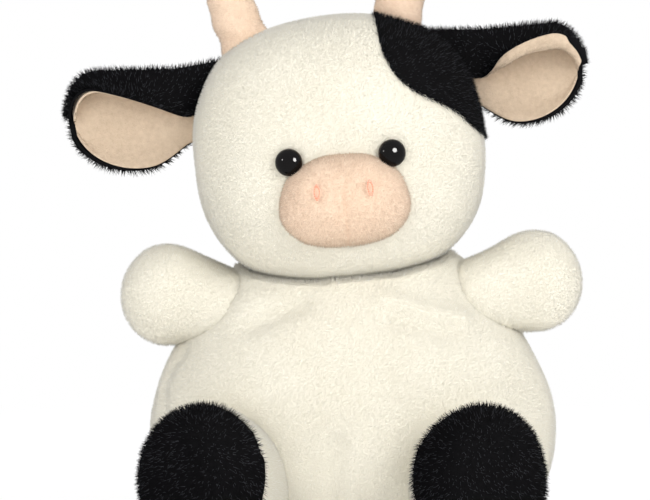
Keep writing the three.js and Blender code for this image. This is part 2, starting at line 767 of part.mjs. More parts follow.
function addHorn(name, side, place_deg) {
  const place = THREE.MathUtils.degToRad(place_deg) * side;
  const lean = THREE.MathUtils.degToRad(horn_lean_deg) * side;
  const out = new THREE.Vector3(Math.sin(place), 0, Math.cos(place));
  const base = out.clone().multiplyScalar(headReach(out, 0));
  const axis = new THREE.Vector3(Math.sin(lean), 0, Math.cos(lean));
  const bow = new THREE.Vector3(side * Math.cos(lean), 0, -side * Math.sin(lean) * side);
  const root_depth = horn_base_radius;
  const form = (inset, lower, sides, rows) => solidOf(closedForm(sides, rows, (turn, rise) => {
    const foot = -root_depth - lower;
    const along = foot + (horn_height - inset - foot) * Math.sin(rise * Math.PI / 2);
    const share = Math.max(0, along / (horn_height - inset));
    const round = Math.sqrt(Math.max(0, 1 - share ** horn_tip_squareness_share));
    const radius = rise > 0 ? (horn_base_radius - inset) * (1 - horn_taper_share * share) * round : 0;
    const spin = turn * whole_turn;
    return base.clone()
      .addScaledVector(axis, along)
      .addScaledVector(bow, horn_bow * Math.sin(Math.PI * Math.min(1, share)))
      .add(new THREE.Vector3(Math.cos(spin) * radius, Math.sin(spin) * radius, 0)
        .applyQuaternion(new THREE.Quaternion().setFromUnitVectors(up_axis, axis)));
  }));
  const face = solidOf(headForm(-fit_gap, 28, 17));
  const skin = form(0, 0, 14, 8).subtract(form(fabric_wall, overrun, 8, 6)).subtract(face);
  const filling = form(fabric_wall + fit_gap, overrun, 8, 6).subtract(face);
  head.add(piece(`horn_${name}`, skin, 'peach_plush'));
  head.add(piece(`horn_stuffing_${name}`, filling, 'stuffing'));
}

// Ear section at a share of its length, from the lower edge up and over the fold to the flap's edge
function earSection(share, ear_rise, fading_share) {
  const past = Math.max(0, share);
  const grow = Math.sin(Math.PI / 2 * Math.min(1, past * ear_widening_share));
  const rounding = (start) => Math.sqrt(1 - (Math.max(0, share - start) / (1 - start)) ** 2);
  const round = rounding(ear_top_rounding_share);
  const half_root = ear_root_height / 2;
  const top = (half_root + (ear_rise - half_root) * past) * round;
  const low = -(half_root + (ear_fall - half_root) * grow) * rounding(ear_low_rounding_share);
  const fold = ear_fold_radius * (ear_fold_tip_share + (1 - ear_fold_tip_share) * round);
  const flap_most = Math.min(ear_flap, (top - low) * ear_flap_limit_share);
  const flap = fold + (flap_most - fold) * (1 - past ** fading_share);
  const open = ear_open * grow * round ** ear_open_fading_share;
  const curl = ear_curl * grow * round;
  const bend = fold * (1 - Math.SQRT1_2);
  return new THREE.CatmullRomCurve3([
    new THREE.Vector3(low, curl, 0),
    new THREE.Vector3(low * ear_low_share, curl * ear_low_curl_share, 0),
    new THREE.Vector3((low + top) * ear_middle_share, 0, 0),
    new THREE.Vector3(top - fold, 0, 0),
    new THREE.Vector3(top - bend, bend, 0),
    new THREE.Vector3(top, fold, 0),
    new THREE.Vector3(top - bend, 2 * fold - bend, 0),
    new THREE.Vector3(top - (flap + fold) / 2, 2 * fold + open / 2, 0),
    new THREE.Vector3(top - flap, 2 * fold + open, 0),
  ], false, 'centripetal');
}

// Grid of places on the ear's outer face, root to tip and lower edge to flap, with the way inward at each
function earGrid(side, ear_length, ear_rise, fading_share) {
  const from = -ear_tongue_radius / ear_length;
  const grid = [];
  for (let station = 0; station <= ear_stations; station += 1) {
    const share = from + (ear_tip_share - from) * (1 - (1 - station / ear_stations) ** ear_station_power_share);
    const section = earSection(share, ear_rise, fading_share);
    const row = [];
    for (let step = 0; step <= ear_steps; step += 1) {
      const place = section.getPointAt(step / ear_steps);
      const along = section.getTangentAt(step / ear_steps);
      row.push({
        place: new THREE.Vector3(side * share * ear_length, place.x, place.y),
        inward: new THREE.Vector3(0, -along.y, along.x),
      });
    }
    grid.push(row);
  }
  return grid;
}

// The sheet between two depths under the outer face, left out for some steps at its edges
function earSheet(grid, near, far, edge) {
  const rows = grid
    .slice(0, grid.length - edge)
    .map((row) => row.slice(edge, row.length - edge));
  const count = rows[0].length;
  const layer = (depth) => rows.flatMap((row) => row.map(({ place, inward }) => (
    place.clone().addScaledVector(inward, depth))));
  const faces = [];
  const quad = (a, b, c, d) => faces.push(a, b, c, a, c, d);
  const shift = rows.length * count;
  for (let i = 0; i < rows.length - 1; i += 1) {
    for (let j = 0; j < count - 1; j += 1) {
      const a = i * count + j;
      quad(a, a + 1, a + count + 1, a + count);
      quad(shift + a, shift + a + count, shift + a + count + 1, shift + a + 1);
    }
  }
  for (let j = 0; j < count - 1; j += 1) {
    const last = (rows.length - 1) * count + j;
    quad(j, shift + j, shift + j + 1, j + 1);
    quad(last, last + 1, shift + last + 1, shift + last);
  }
  for (let i = 0; i < rows.length - 1; i += 1) {
    const a = i * count;
    const b = a + count - 1;
    quad(a, a + count, shift + a + count, shift + a);
    quad(b, shift + b, shift + b + count, b + count);
  }
  return solidOf(indexedGeometry([...layer(near), ...layer(far)], faces));
}

function addEar(name, side, ear_length, ear_rise, place_deg, fading_share) {
  const place = THREE.MathUtils.degToRad(place_deg);
  const droop = THREE.MathUtils.degToRad(ear_droop_deg);
  const out = new THREE.Vector3(side * Math.cos(place), 0, Math.sin(place));
  const pivot = out.clone().multiplyScalar(headReach(out, 0) + ear_stand_off);
  const along = new THREE.Vector3(Math.cos(droop), 0, -side * Math.sin(droop));
  const upward = new THREE.Vector3(side * Math.sin(droop), 0, Math.cos(droop));
  const forward = new THREE.Vector3(0, -1, 0);
  const across_swing = new THREE.Vector3(0, -side, 0);
  const middle = ear_fold_radius;
  const frame = new THREE.Matrix4().makeBasis(along, upward, forward)
    .setPosition(pivot.clone().addScaledVector(forward, -middle));

  // The tongue at the root is rounded about the pivot, so that it turns in its slot
  const keep_round = new THREE.CylinderGeometry(ear_tongue_radius, ear_tongue_radius, 4 * overrun, 18)
    .rotateX(Math.PI / 2);
  const keep_blade = new THREE.BoxGeometry(2 * ear_length, 4 * ear_length, 4 * overrun);
  const back_to_ear = frame.clone().invert();
  const swept_head = [ear_down_deg, 0, -ear_up_deg]
    .map((degrees) => back_to_ear.clone().multiply(turnAbout(pivot, across_swing, degrees)))
    .map((matrix) => solidOf(moved(headForm(-2 * swing_gap, 28, 17), matrix)))
    .reduce((whole, one) => whole.add(one));
  const keep = solidOf(keep_blade.translate(side * ear_length, 0, 0))
    .subtract(swept_head)
    .add(solidOf(keep_round));
  const grid = earGrid(side, ear_length, ear_rise, fading_share);
  const back = earSheet(grid, 0, ear_fabric, 0).intersect(keep);
  const lining_depth = ear_fabric + fit_gap;
  const lining = earSheet(grid, lining_depth, lining_depth + lining_fabric, 1).intersect(keep);
  const ear = new THREE.Group();
  ear.applyMatrix4(frame);
  ear.add(piece(`ear_back_${name}`, back, 'black_plush'));
  ear.add(piece(`ear_lining_${name}`, lining, 'peach_plush'));
  head.add(ear);

  const slot_depth = 2 * ear_fold_radius + 4 * swing_gap;
  const slot_radius = (ear_tongue_radius + swing_gap) / Math.cos(Math.PI / 18);
  const slot = new THREE.CylinderGeometry(slot_radius, slot_radius, slot_depth, 18);
  slot.rotateX(Math.PI / 2).translate(0, 0, ear_fold_radius);
  head_cuts.push(solidOf(moved(slot, frame)));
  head_filling_cuts.push(solidOf(moved(slot, frame)));
}

// The wedge from the head's middle out through the patch's edge
function patchWedge(gap) {
  const edge = [
    ...patch_front_shares.map(([across, rise]) => [across, rise, -1]),
    ...patch_back_shares.map(([across, rise]) => [across, rise, 1]),
  ].map(([across, rise, face]) => {
    const { point } = facePlace(across * head_half_width, rise * head_half_height);
    return point.setY(-face * point.y);
  });
  const loop = new THREE.CatmullRomCurve3(edge, true, 'centripetal');
  const centre = edge.reduce((sum, p) => sum.add(p), new THREE.Vector3()).divideScalar(edge.length);
  const steps = 30;
  const far = 2;
  const places = [new THREE.Vector3(), centre.clone().multiplyScalar(far)];
  const faces = [];
  for (let step = 0; step < steps; step += 1) {
    const point = loop.getPointAt(step / steps);
    const inward = centre.clone().sub(point).normalize();
    places.push(point.addScaledVector(inward, gap).multiplyScalar(far));
  }
  for (let step = 0; step < steps; step += 1) {
    const a = 2 + step;
    const b = 2 + ((step + 1) % steps);
    faces.push(0, b, a, 1, a, b);
  }
  return solidOf(indexedGeometry(places, faces));
}

function addHead() {
  const inner = fabric_wall + fit_gap;
  const down = new THREE.Vector3(0, 0, -1).transformDirection(head_frame_back);
  const pivot = nod_pivot.clone().applyMatrix4(head_frame_back);
  const seat_radius = neckSeat();
  const stub_radius = neck_radius - 2 * swing_gap;
  const stub = (radius) => solidOf(cylinderAlong(
    pivot,
    pivot.clone().addScaledVector(down, head_half_height + overrun),
    radius,
    16,
  ));
  const ball = new THREE.SphereGeometry(seat_radius, 24, 16).rotateX(Math.PI / 2);
  const seat = solidOf(ball.translate(pivot.x, pivot.y, pivot.z));
  const cuts = head_cuts.reduce((whole, one) => whole.add(one));
  const shell = solidOf(headForm(0, 28, 17))
    .subtract(solidOf(headForm(fabric_wall, 18, 11)))
    .subtract(cuts)
    .subtract(stub(stub_radius + fit_gap));
  head.add(piece('head_skin', shell.subtract(patchWedge(-fit_gap / 2)), 'white_plush'));
  head.add(piece('head_patch', shell.intersect(patchWedge(fit_gap / 2)), 'black_plush'));
  const neck_stub = stub(stub_radius).intersect(seat);
  const filling = solidOf(headForm(inner, 18, 11))
    .add(neck_stub)
    .subtract(head_filling_cuts.reduce((whole, one) => whole.add(one)));
  head.add(piece('head_stuffing', filling, 'stuffing'));
}

addArm('left', 1, arm_lift_left_deg);
addArm('right', -1, arm_lift_right_deg);
addLeg('left', 1, leg_splay_left_deg);
addLeg('right', -1, leg_splay_right_deg);
addEye('left', 1);
addEye('right', -1);
addHorn('left', 1, horn_place_left_deg);
addHorn('right', -1, horn_place_right_deg);
addEar('left', 1, ear_length_left, ear_rise_left, ear_place_left_deg, ear_flap_fading_left_share);
addEar('right', -1, ear_length_right, ear_rise_right, ear_place_right_deg, ear_flap_fading_right_share);
addTail();
addMuzzle();
addHead();
addTorso();

export default toy;
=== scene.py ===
"""Seated plush cow: soft skins, pile and face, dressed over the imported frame."""

import functools
import logging
import math
from dataclasses import dataclass, field
from enum import Enum
from typing import Callable, Optional, Sequence

import bpy
import numpy as np
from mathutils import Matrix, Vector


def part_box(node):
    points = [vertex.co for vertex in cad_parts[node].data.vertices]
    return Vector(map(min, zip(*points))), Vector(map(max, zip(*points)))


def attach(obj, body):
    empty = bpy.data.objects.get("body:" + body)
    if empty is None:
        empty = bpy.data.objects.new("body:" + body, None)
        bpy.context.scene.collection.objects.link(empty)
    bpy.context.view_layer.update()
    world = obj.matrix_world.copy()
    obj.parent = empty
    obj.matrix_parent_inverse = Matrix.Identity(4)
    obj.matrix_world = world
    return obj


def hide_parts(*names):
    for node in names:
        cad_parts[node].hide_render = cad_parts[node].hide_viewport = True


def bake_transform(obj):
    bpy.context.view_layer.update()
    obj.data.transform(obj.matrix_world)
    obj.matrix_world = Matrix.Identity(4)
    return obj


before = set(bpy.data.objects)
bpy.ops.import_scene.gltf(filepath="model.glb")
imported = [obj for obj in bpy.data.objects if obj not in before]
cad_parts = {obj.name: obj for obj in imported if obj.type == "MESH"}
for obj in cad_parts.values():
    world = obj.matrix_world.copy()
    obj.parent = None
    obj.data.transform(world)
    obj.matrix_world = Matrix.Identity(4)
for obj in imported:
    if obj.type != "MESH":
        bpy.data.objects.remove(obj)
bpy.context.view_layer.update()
LOG = logging.getLogger("plush_cow")
Array = np.ndarray
Piece = bpy.types.Object
Triple = tuple[float, float, float]
Depth = Callable[[Array], Array]
Keep = Callable[[Array, Array], Array]

MM = 0.001
BACKWARD = np.array([0.0, 1.0, 0.0])
UPWARD = np.array([0.0, 0.0, 1.0])
SPACING = 0.74  # between two strands of the white pile, in millimetres
FABRIC_INSET = 1.3  # how far skins start inside the solids
NECK_X = -6.5
CLOTH_STEPS = 20
RAY_STEPS, RAY_HALVINGS = 40, 11
GOLDEN_SHARE = 0.618034  # spreads the roots that are left out evenly


class Side(Enum):
    """The toy's own side: left is +X."""

    LEFT = 1
    RIGHT = -1

    @property
    def word(self) -> str:
        """The side's name as it ends a node's name."""
        return self.name.lower()


class Comb(Enum):
    """Which way a pile is brushed."""

    DOWN = "down"
    UP = "up"
    OUTWARD = "outward"


# Meshes


def act_on(piece: Piece) -> None:
    """Selects one piece alone for the next operator.

    Args:
        piece: The piece.
    """
    bpy.ops.object.select_all(action="DESELECT")
    piece.select_set(True)
    bpy.context.view_layer.objects.active = piece


def add(name: str, primitive: Callable[..., object], **settings: object) -> Piece:
    """Adds a primitive that alone is selected, and names it.

    Args:
        name: The piece's name.
        primitive: The operator that adds it.
        **settings: The operator's settings.

    Returns:
        The new piece.
    """
    bpy.ops.object.select_all(action="DESELECT")
    primitive(**settings)
    piece = bpy.context.object
    piece.name = piece.data.name = name
    return piece


def vectors_of(piece: Piece, kind: str) -> Array:
    """Reads a vector of every point.

    Args:
        piece: The mesh object.
        kind: "co" for places in metres or "normal" for outward directions.

    Returns:
        One row a point.
    """
    flat = np.empty(len(piece.data.vertices) * 3, np.float64)
    piece.data.vertices.foreach_get(kind, flat)
    return flat.reshape(-1, 3)


def points_of(piece: Piece) -> Array:
    """A mesh's points in millimetres."""
    return vectors_of(piece, "co") / MM


def set_points(piece: Piece, points: Array) -> None:
    """Moves a mesh's points to places in millimetres."""
    piece.data.vertices.foreach_set("co", (points * MM).astype(np.float32).ravel())
    piece.data.update()


def raise_skin(piece: Piece, lift: Array) -> None:
    """Moves points out along their normals by millimetres."""
    set_points(piece, points_of(piece) + vectors_of(piece, "normal") * np.reshape(lift, (-1, 1)))


def unit(vectors: Array) -> Array:
    """Scales rows to a length of one."""
    return vectors / np.maximum(np.linalg.norm(vectors, axis=-1, keepdims=True), 1e-9)


def ring(turn: Array, side: Array, over: Array) -> Array:
    """Directions round an axis, from shares of a turn."""
    spin = (turn * 2 * math.pi)[:, None]
    return np.cos(spin) * side + np.sin(spin) * over


def turned(axis: int, degrees: float) -> Array:
    """Gives the matrix of a turn.

    Args:
        axis: 0, 1 or 2 for X, Y or Z.
        degrees: How far it turns.

    Returns:
        Three rows of three numbers.
    """
    cosine, sine = math.cos(math.radians(degrees)), math.sin(math.radians(degrees))
    a, b = (axis + 1) % 3, (axis + 2) % 3
    matrix = np.eye(3)
    matrix[[a, b, a, b], [a, b, b, a]] = cosine, cosine, -sine, sine
    return matrix


def finish_modifier(piece: Piece, kind: str, **settings: object) -> None:
    """Adds one modifier and applies it.

    Args:
        piece: The mesh object.
        kind: The modifier's type.
        **settings: Values set on the modifier.
    """
    act_on(piece)
    modifier = piece.modifiers.new(kind.title(), kind)
    for key, value in settings.items():
        setattr(modifier, key, value)
    bpy.ops.object.modifier_apply(modifier=modifier.name)


def smooth(piece: Piece) -> None:
    """Shades a piece smooth all over."""
    piece.data.polygons.foreach_set("use_smooth", [True] * len(piece.data.polygons))
    piece.data.update()


def face_outward(piece: Piece) -> None:
    """Turns a closed mesh's faces so that they point outwards.

    Args:
        piece: The closed piece.
    """
    act_on(piece)
    bpy.ops.object.mode_set(mode="EDIT")
    bpy.ops.mesh.select_all(action="SELECT")
    bpy.ops.mesh.normals_make_consistent(inside=False)
    bpy.ops.object.mode_set(mode="OBJECT")


def smooth_curve(knots: Sequence[Sequence[float]], steps: int, closed: bool = False) -> Array:
    """Draws a centripetal curve through knots.

    Args:
        knots: The points that it passes.
        steps: Samples between two knots.
        closed: True to join the last knot to the first.

    Returns:
        The samples, one row each.
    """
    given = np.asarray(knots, float)
    ends = (given[-1:], given[:2]) if closed else (2 * given[0] - given[1], 2 * given[-1] - given[-2])
    given = np.vstack([ends[0], given, ends[1]])
    samples = []
    for a, b, c, d in zip(given, given[1:], given[2:], given[3:]):
        gaps = [max(np.linalg.norm(q - p), 1e-6) ** 0.5 for p, q in ((a, b), (b, c), (c, d))]
        t0, (t1, t2, t3) = 0.0, np.cumsum(gaps)
        t = np.linspace(t1, t2, steps, endpoint=False)[:, None]

        def between(p: Array, q: Array, start: float, end: float) -> Array:
            """Goes from one point to another as t goes from start to end."""
            return (end - t) / (end - start) * p + (t - start) / (end - start) * q

        ab, bc, cd = between(a, b, t0, t1), between(b, c, t1, t2), between(c, d, t2, t3)
        samples.append(between(between(ab, bc, t0, t2), between(bc, cd, t1, t3), t1, t2))
    if not closed:
        samples.append(given[-2:-1])
    return np.vstack(samples)


def soft_max(a: Array, b: Array, reach: float) -> Array:
    """Keeps what is inside two depths at once, with an edge rounded by reach."""
    share = np.clip(0.5 - 0.5 * (a - b) / reach, 0, 1)
    return a + (b - a) * share + reach * share * (1 - share)


@dataclass(frozen=True)
class Fold:
    """A groove or a ridge pressed into fabric along a line."""

    path: Sequence[Sequence[float]]
    width: float
    rise: float

    def lift(self, points: Array) -> Array:
        """Gives the height of the fold, negative in a groove.

        Args:
            points: Places in millimetres.

        Returns:
            Heights in millimetres.
        """
        line = smooth_curve(self.path, 8)
        best = np.full(len(points), np.inf)
        for start, end in zip(line, line[1:]):
            along = end - start
            share = np.clip((points - start) @ along / max(along @ along, 1e-9), 0, 1)
            best = np.minimum(best, np.linalg.norm(points - start - share[:, None] * along, axis=1))
        return self.rise * np.exp(-((best / self.width) ** 2))


@dataclass(frozen=True)
class Bulge:
    """A soft swelling or hollow round a place."""

    centre: Sequence[float]
    size: Triple
    rise: float

    def lift(self, points: Array) -> Array:
        """Gives the height of the swelling, negative in a hollow."""
        away = (points - np.array(self.centre)) / np.array(self.size)
        return self.rise * np.exp(-(away**2).sum(axis=1))


def press(piece: Piece, marks: Sequence[Fold | Bulge], grain: float) -> None:
    """Works folds and swellings into a skin along its normals.

    Args:
        piece: The skin.
        marks: The folds and swellings.
        grain: Height of a slow waviness.
    """
    points = points_of(piece)
    lift = np.zeros(len(points))
    for mark in marks:
        lift += mark.lift(points)
    waves = (((0.11, 0.07, 0.09), 0), ((-0.06, 0.13, 0.1), 1.3), ((0.05, -0.1, 0.17), 4.1))
    raise_skin(piece, lift + grain * sum(np.sin(points @ np.array(way) + start) for way, start in waves) / 3)


# Forms: every depth is positive outside, for points in the toy's frame in millimetres


@dataclass(frozen=True)
class HeadForm:
    """The head's rounded block, tilted about the depth axis."""

    half: Triple = (67.0, 58.0, 62.0)
    roundness: float = 2.5
    jowl: float = 0.15
    centre: Triple = (NECK_X, 0.0, 180.0)
    roll: float = 5.3
    pivot_drop: float = 10.0
    chin: Triple = (-6.0, -40.0, -50.0)
    chin_half: Triple = (46.0, 26.0, 20.0)
    chin_swell: float = 4.5

    @property
    def tilt(self) -> Array:
        """The matrix from the head's own frame to the toy's."""
        return turned(1, -self.roll)

    def to_toy(self, points: Array) -> Array:
        """Moves points from the head's frame to the toy's."""
        return np.asarray(points, float) @ self.tilt.T + np.array(self.centre)

    def to_head(self, points: Array) -> Array:
        """Moves points from the toy's frame to the head's."""
        return (points - np.array(self.centre)) @ self.tilt

    def own_depth(self, local: Array) -> Array:
        """Distance outside the head, along the ray from its middle.

        Args:
            local: Points in the head's frame.

        Returns:
            Positive numbers outside.
        """
        shares = local / np.array(self.half)
        size = np.maximum(np.linalg.norm(shares, axis=1), 1e-9)
        power = self.roundness - self.jowl * shares[:, 2] / size
        level = (np.abs(shares / size[:, None]) ** power[:, None]).sum(axis=1) ** (1 / power) * size
        away = (local / level[:, None] - np.array(self.chin)) / np.array(self.chin_half)
        chin = self.chin_swell * np.exp(-(away**2).sum(axis=1))
        return np.linalg.norm(local, axis=1) * (1 - 1 / level) - chin

    def reach(self, direction: Array) -> float:
        """Distance from the head's middle to its surface, in the head's frame."""
        far = unit(direction) * 200.0
        return 200.0 - float(self.own_depth(far[None])[0])

    def depth(self, points: Array) -> Array:
        """Distance outside the head."""
        return self.own_depth(self.to_head(points))

    def swept_depth(self, points: Array, turn: float = 20.0, nod: float = 8.0) -> Array:
        """Distance outside everything that the head passes through.

        Args:
            points: Places in the toy's frame.
            turn: Furthest turn, in degrees.
            nod: Furthest nod, in degrees.

        Returns:
            Positive numbers outside.
        """
        pivot = np.array(self.centre) - np.array([0, 0, self.pivot_drop])
        ways = [turned(2, a) @ turned(0, b) for a in (-turn, 0.0, turn) for b in (-nod, 0.0, nod)]
        return np.min([self.depth((points - pivot) @ way + pivot) for way in ways], axis=0)

    def front(self, across: float, rise: float) -> tuple[Array, Array]:
        """Finds the surface seen from the front, all in the head's frame.

        Args:
            across: Offset from the middle along X.
            rise: Offset along Z.

        Returns:
            The point and its outward normal.
        """
        near, far = 0.0, self.half[1]
        for _ in range(20):
            middle = (near + far) / 2
            inside = self.own_depth(np.array([[across, -middle, rise]]))[0] < 0
            near, far = (middle, far) if inside else (near, middle)
        point = np.array([across, -near, rise])
        slope = self.own_depth(point + np.eye(3) * 0.3) - self.own_depth(point - np.eye(3) * 0.3)
        return point, unit(slope)


@dataclass(frozen=True)
class PearForm:
    """The torso's pear, flat where it sits."""

    half_width: float = 94.0
    half_depth: float = 62.0
    height: float = 142.0
    squareness: float = 2.15
    outline: tuple[Triple, ...] = (
        (0, 0, 0), (0.42, 0.42, 0.001), (0.7, 0.7, 0.022), (0.885, 0.9, 0.11), (0.975, 0.99, 0.23),
        (1, 1, 0.36), (0.96, 0.97, 0.5), (0.865, 0.89, 0.64), (0.735, 0.78, 0.76), (0.61, 0.65, 0.87),
        (0.44, 0.48, 0.96), (0.22, 0.25, 0.995), (0, 0, 1),
    )

    def depth(self, points: Array) -> Array:
        """Distance outside the pear, measured level.

        Args:
            points: Places in the toy's frame.

        Returns:
            Positive numbers outside.
        """
        curve = smooth_curve(self.outline, 12)
        curve = curve[np.argsort(curve[:, 2])]
        rise = points[:, 2] / self.height
        wide = np.interp(rise, curve[:, 2], curve[:, 0]) * self.half_width
        deep = np.interp(rise, curve[:, 2], curve[:, 1]) * self.half_depth
        power = self.squareness
        level = (np.abs(points[:, 0]) / np.maximum(wide, 1e-3)) ** power
        level = (level + (np.abs(points[:, 1]) / np.maximum(deep, 1e-3)) ** power) ** (1 / power)
        across = np.linalg.norm(points[:, :2], axis=1)
        out = np.maximum(-points[:, 2], points[:, 2] - self.height)
        return np.maximum(across * (1 - 1 / np.maximum(level, 1e-6)), out)


@dataclass(frozen=True)
class LimbForm:
    """Two balls and the taper between them, narrowed from side to side."""

    root: Array
    end: Array
    root_radius: float
    end_radius: float
    narrow: float = 1.0

    @property
    def axis(self) -> Array:
        """Unit direction from the root to the end."""
        return unit(self.end - self.root)

    def depth(self, points: Array) -> Array:
        """Distance outside the limb.

        Args:
            points: Places in the toy's frame.

        Returns:
            Positive numbers outside.
        """
        line = self.end - self.root
        square = line @ line
        step = self.root_radius - self.end_radius
        a2 = square - step * step
        away = points - self.root
        side = unit(np.cross(line, UPWARD))
        away = away + (away @ side)[:, None] * side * (1 / self.narrow - 1)
        y = away @ line
        z = y - square
        x2 = ((away * square - line * y[:, None]) ** 2).sum(axis=1)
        y2, z2 = y * y * square, z * z * square
        k = np.sign(step) * step * step * x2
        taper = (np.sqrt(x2 * a2 / square) + y * step) / square - self.root_radius
        at_end = np.sqrt(x2 + z2) / square - self.end_radius
        at_root = np.sqrt(x2 + y2) / square - self.root_radius
        return np.where(np.sign(z) * a2 * z2 > k, at_end, np.where(np.sign(y) * a2 * y2 < k, at_root, taper))


def ball_skin(name: str, centre: Array, reach: float, depth: Depth, detail: int) -> Piece:
    """Wraps a ball of fabric over a form, ray by ray from a middle.

    Args:
        name: The piece's name.
        centre: Middle of the form, inside it all over.
        reach: Furthest that the form goes from there.
        depth: Distance outside the form.
        detail: Subdivisions of the ball.

    Returns:
        The skin.
    """
    sphere = bpy.ops.mesh.primitive_ico_sphere_add
    piece = add(name, sphere, subdivisions=detail, radius=reach * MM, location=tuple(centre * MM))
    bpy.ops.object.transform_apply(location=True, rotation=False, scale=False)
    rays = unit(points_of(piece) - centre)
    near, far = np.zeros(len(rays)), np.full(len(rays), reach)
    found = np.zeros(len(rays), bool)
    for step in np.linspace(reach / RAY_STEPS, reach, RAY_STEPS):
        out = depth(centre + rays * step) > 0
        far = np.where(out & ~found, step, far)
        near = np.where(out | found, near, step)
        found |= out
    for _ in range(RAY_HALVINGS):
        middle = (near + far) / 2
        out = depth(centre + rays * middle[:, None]) > 0
        near, far = np.where(out, near, middle), np.where(out, middle, far)
    set_points(piece, centre + rays * near[:, None])
    smooth(piece)
    return piece


def sort_mesh(piece: Piece) -> None:
    """Puts points and faces in one order, because a globe's own differs from run to run.

    Args:
        piece: The globe that was just added.
    """
    points = points_of(piece)
    order = np.lexsort(np.round(points, 3).T)
    rank = np.argsort(order)
    faces = []
    for polygon in piece.data.polygons:
        corners = [int(rank[index]) for index in polygon.vertices]
        first = corners.index(min(corners))
        faces.append(corners[first:] + corners[:first])
    piece.data.clear_geometry()
    piece.data.from_pydata((points[order] * MM).tolist(), [], sorted(faces))


def wrapped(name: str, sides: int, rows: int, place: Keep) -> Piece:
    """Wraps a globe of fabric over a form given by turn and rise.

    Args:
        name: The piece's name.
        sides: Faces round the globe.
        rows: Faces from pole to pole.
        place: Gives points for shares of the turn and of the rise.

    Returns:
        The closed piece.
    """
    piece = add(name, bpy.ops.mesh.primitive_uv_sphere_add, segments=sides, ring_count=rows, radius=1)
    sort_mesh(piece)
    ball = points_of(piece) * MM
    turn = (np.arctan2(ball[:, 1], ball[:, 0]) / (2 * math.pi)) % 1
    rise = 1 - np.arccos(np.clip(ball[:, 2], -1, 1)) / math.pi
    set_points(piece, place(turn, rise))
    face_outward(piece)
    smooth(piece)
    return piece


def stuffed(piece: Piece, pinned: Depth, swell: float, voxel: float = 4.5) -> None:
    """Blows a skin up between its seams with a cloth simulation.

    Args:
        piece: The skin, slightly smaller than it should be.
        pinned: Negative where a seam holds the fabric.
        swell: The most that a point may move, in millimetres.
        voxel: Size of the cloth's mesh, in millimetres.
    """
    piece.data.remesh_voxel_size = voxel * MM
    act_on(piece)
    bpy.ops.object.voxel_remesh()
    before = points_of(piece)
    held = piece.vertex_groups.new(name="seams")
    held.add([int(i) for i in np.flatnonzero(pinned(before) < 0)], 1.0, "REPLACE")
    cloth = piece.modifiers.new("Cloth", "CLOTH")
    settings = cloth.settings
    settings.use_pressure = True
    settings.uniform_pressure_force = settings.quality = 4
    settings.vertex_group_mass = held.name
    settings.effector_weights.gravity = 0
    cloth.point_cache.frame_start, cloth.point_cache.frame_end = 1, CLOTH_STEPS
    for step in range(1, CLOTH_STEPS + 1):
        bpy.context.scene.frame_set(step)
    shown = piece.evaluated_get(bpy.context.evaluated_depsgraph_get())
    move = points_of(shown) - before
    length = np.linalg.norm(move, axis=1, keepdims=True)
    move *= np.minimum(1, swell / np.maximum(length, 1e-9))
    piece.modifiers.remove(cloth)
    piece.vertex_groups.clear()
    bpy.context.scene.frame_set(1)
    set_points(piece, before + move)
    finish_modifier(piece, "SUBSURF", levels=2, render_levels=2)
    smooth(piece)


# Finishes


class Value:
    """A socket that can be added, multiplied and so on in Python."""

    def __init__(self, recipe: "Recipe", socket: bpy.types.NodeSocket) -> None:
        """Keeps the socket and the recipe that it belongs to."""
        self.recipe, self.socket = recipe, socket

    def _maths(self, operation: str, *inputs: object) -> "Value":
        """Adds one Math node for an operation."""
        return self.recipe.node("ShaderNodeMath", {"operation": operation}, dict(enumerate(inputs)))

    def __add__(self, other: object) -> "Value":
        """Adds."""
        return self._maths("ADD", self, other)

    __radd__ = __add__

    def __sub__(self, other: object) -> "Value":
        """Takes away."""
        return self._maths("SUBTRACT", self, other)

    def __rsub__(self, other: object) -> "Value":
        """Is taken away from a number."""
        return self._maths("SUBTRACT", other, self)

    def __mul__(self, other: object) -> "Value":
        """Multiplies."""
        return self._maths("MULTIPLY", self, other)

    __rmul__ = __mul__

    def clamp(self) -> "Value":
        """Keeps it between 0 and 1."""
        return self.recipe.node("ShaderNodeMath", {"operation": "ADD", "use_clamp": True}, {0: self, 1: 0.0})

    def above(self, level: float, soft: float) -> "Value":
        """Gives 1 above a level and 0 below it, over twice the width of soft."""
        inputs = {"Value": self, "From Min": level - soft, "From Max": level + soft}
        return self.recipe.node("ShaderNodeMapRange", {"clamp": True}, inputs)


@dataclass(frozen=True)
class Colour:
    """A colour as the eye names it, in sRGB from 0 to 255."""

    red: float
    green: float
    blue: float

    @property
    def linear(self) -> tuple[float, ...]:
        """The same colour in linear light, with an alpha of 1."""
        shares = [c / 255 for c in (self.red, self.green, self.blue)]
        return (*(s / 12.92 if s <= 0.04045 else ((s + 0.055) / 1.055) ** 2.4 for s in shares), 1.0)


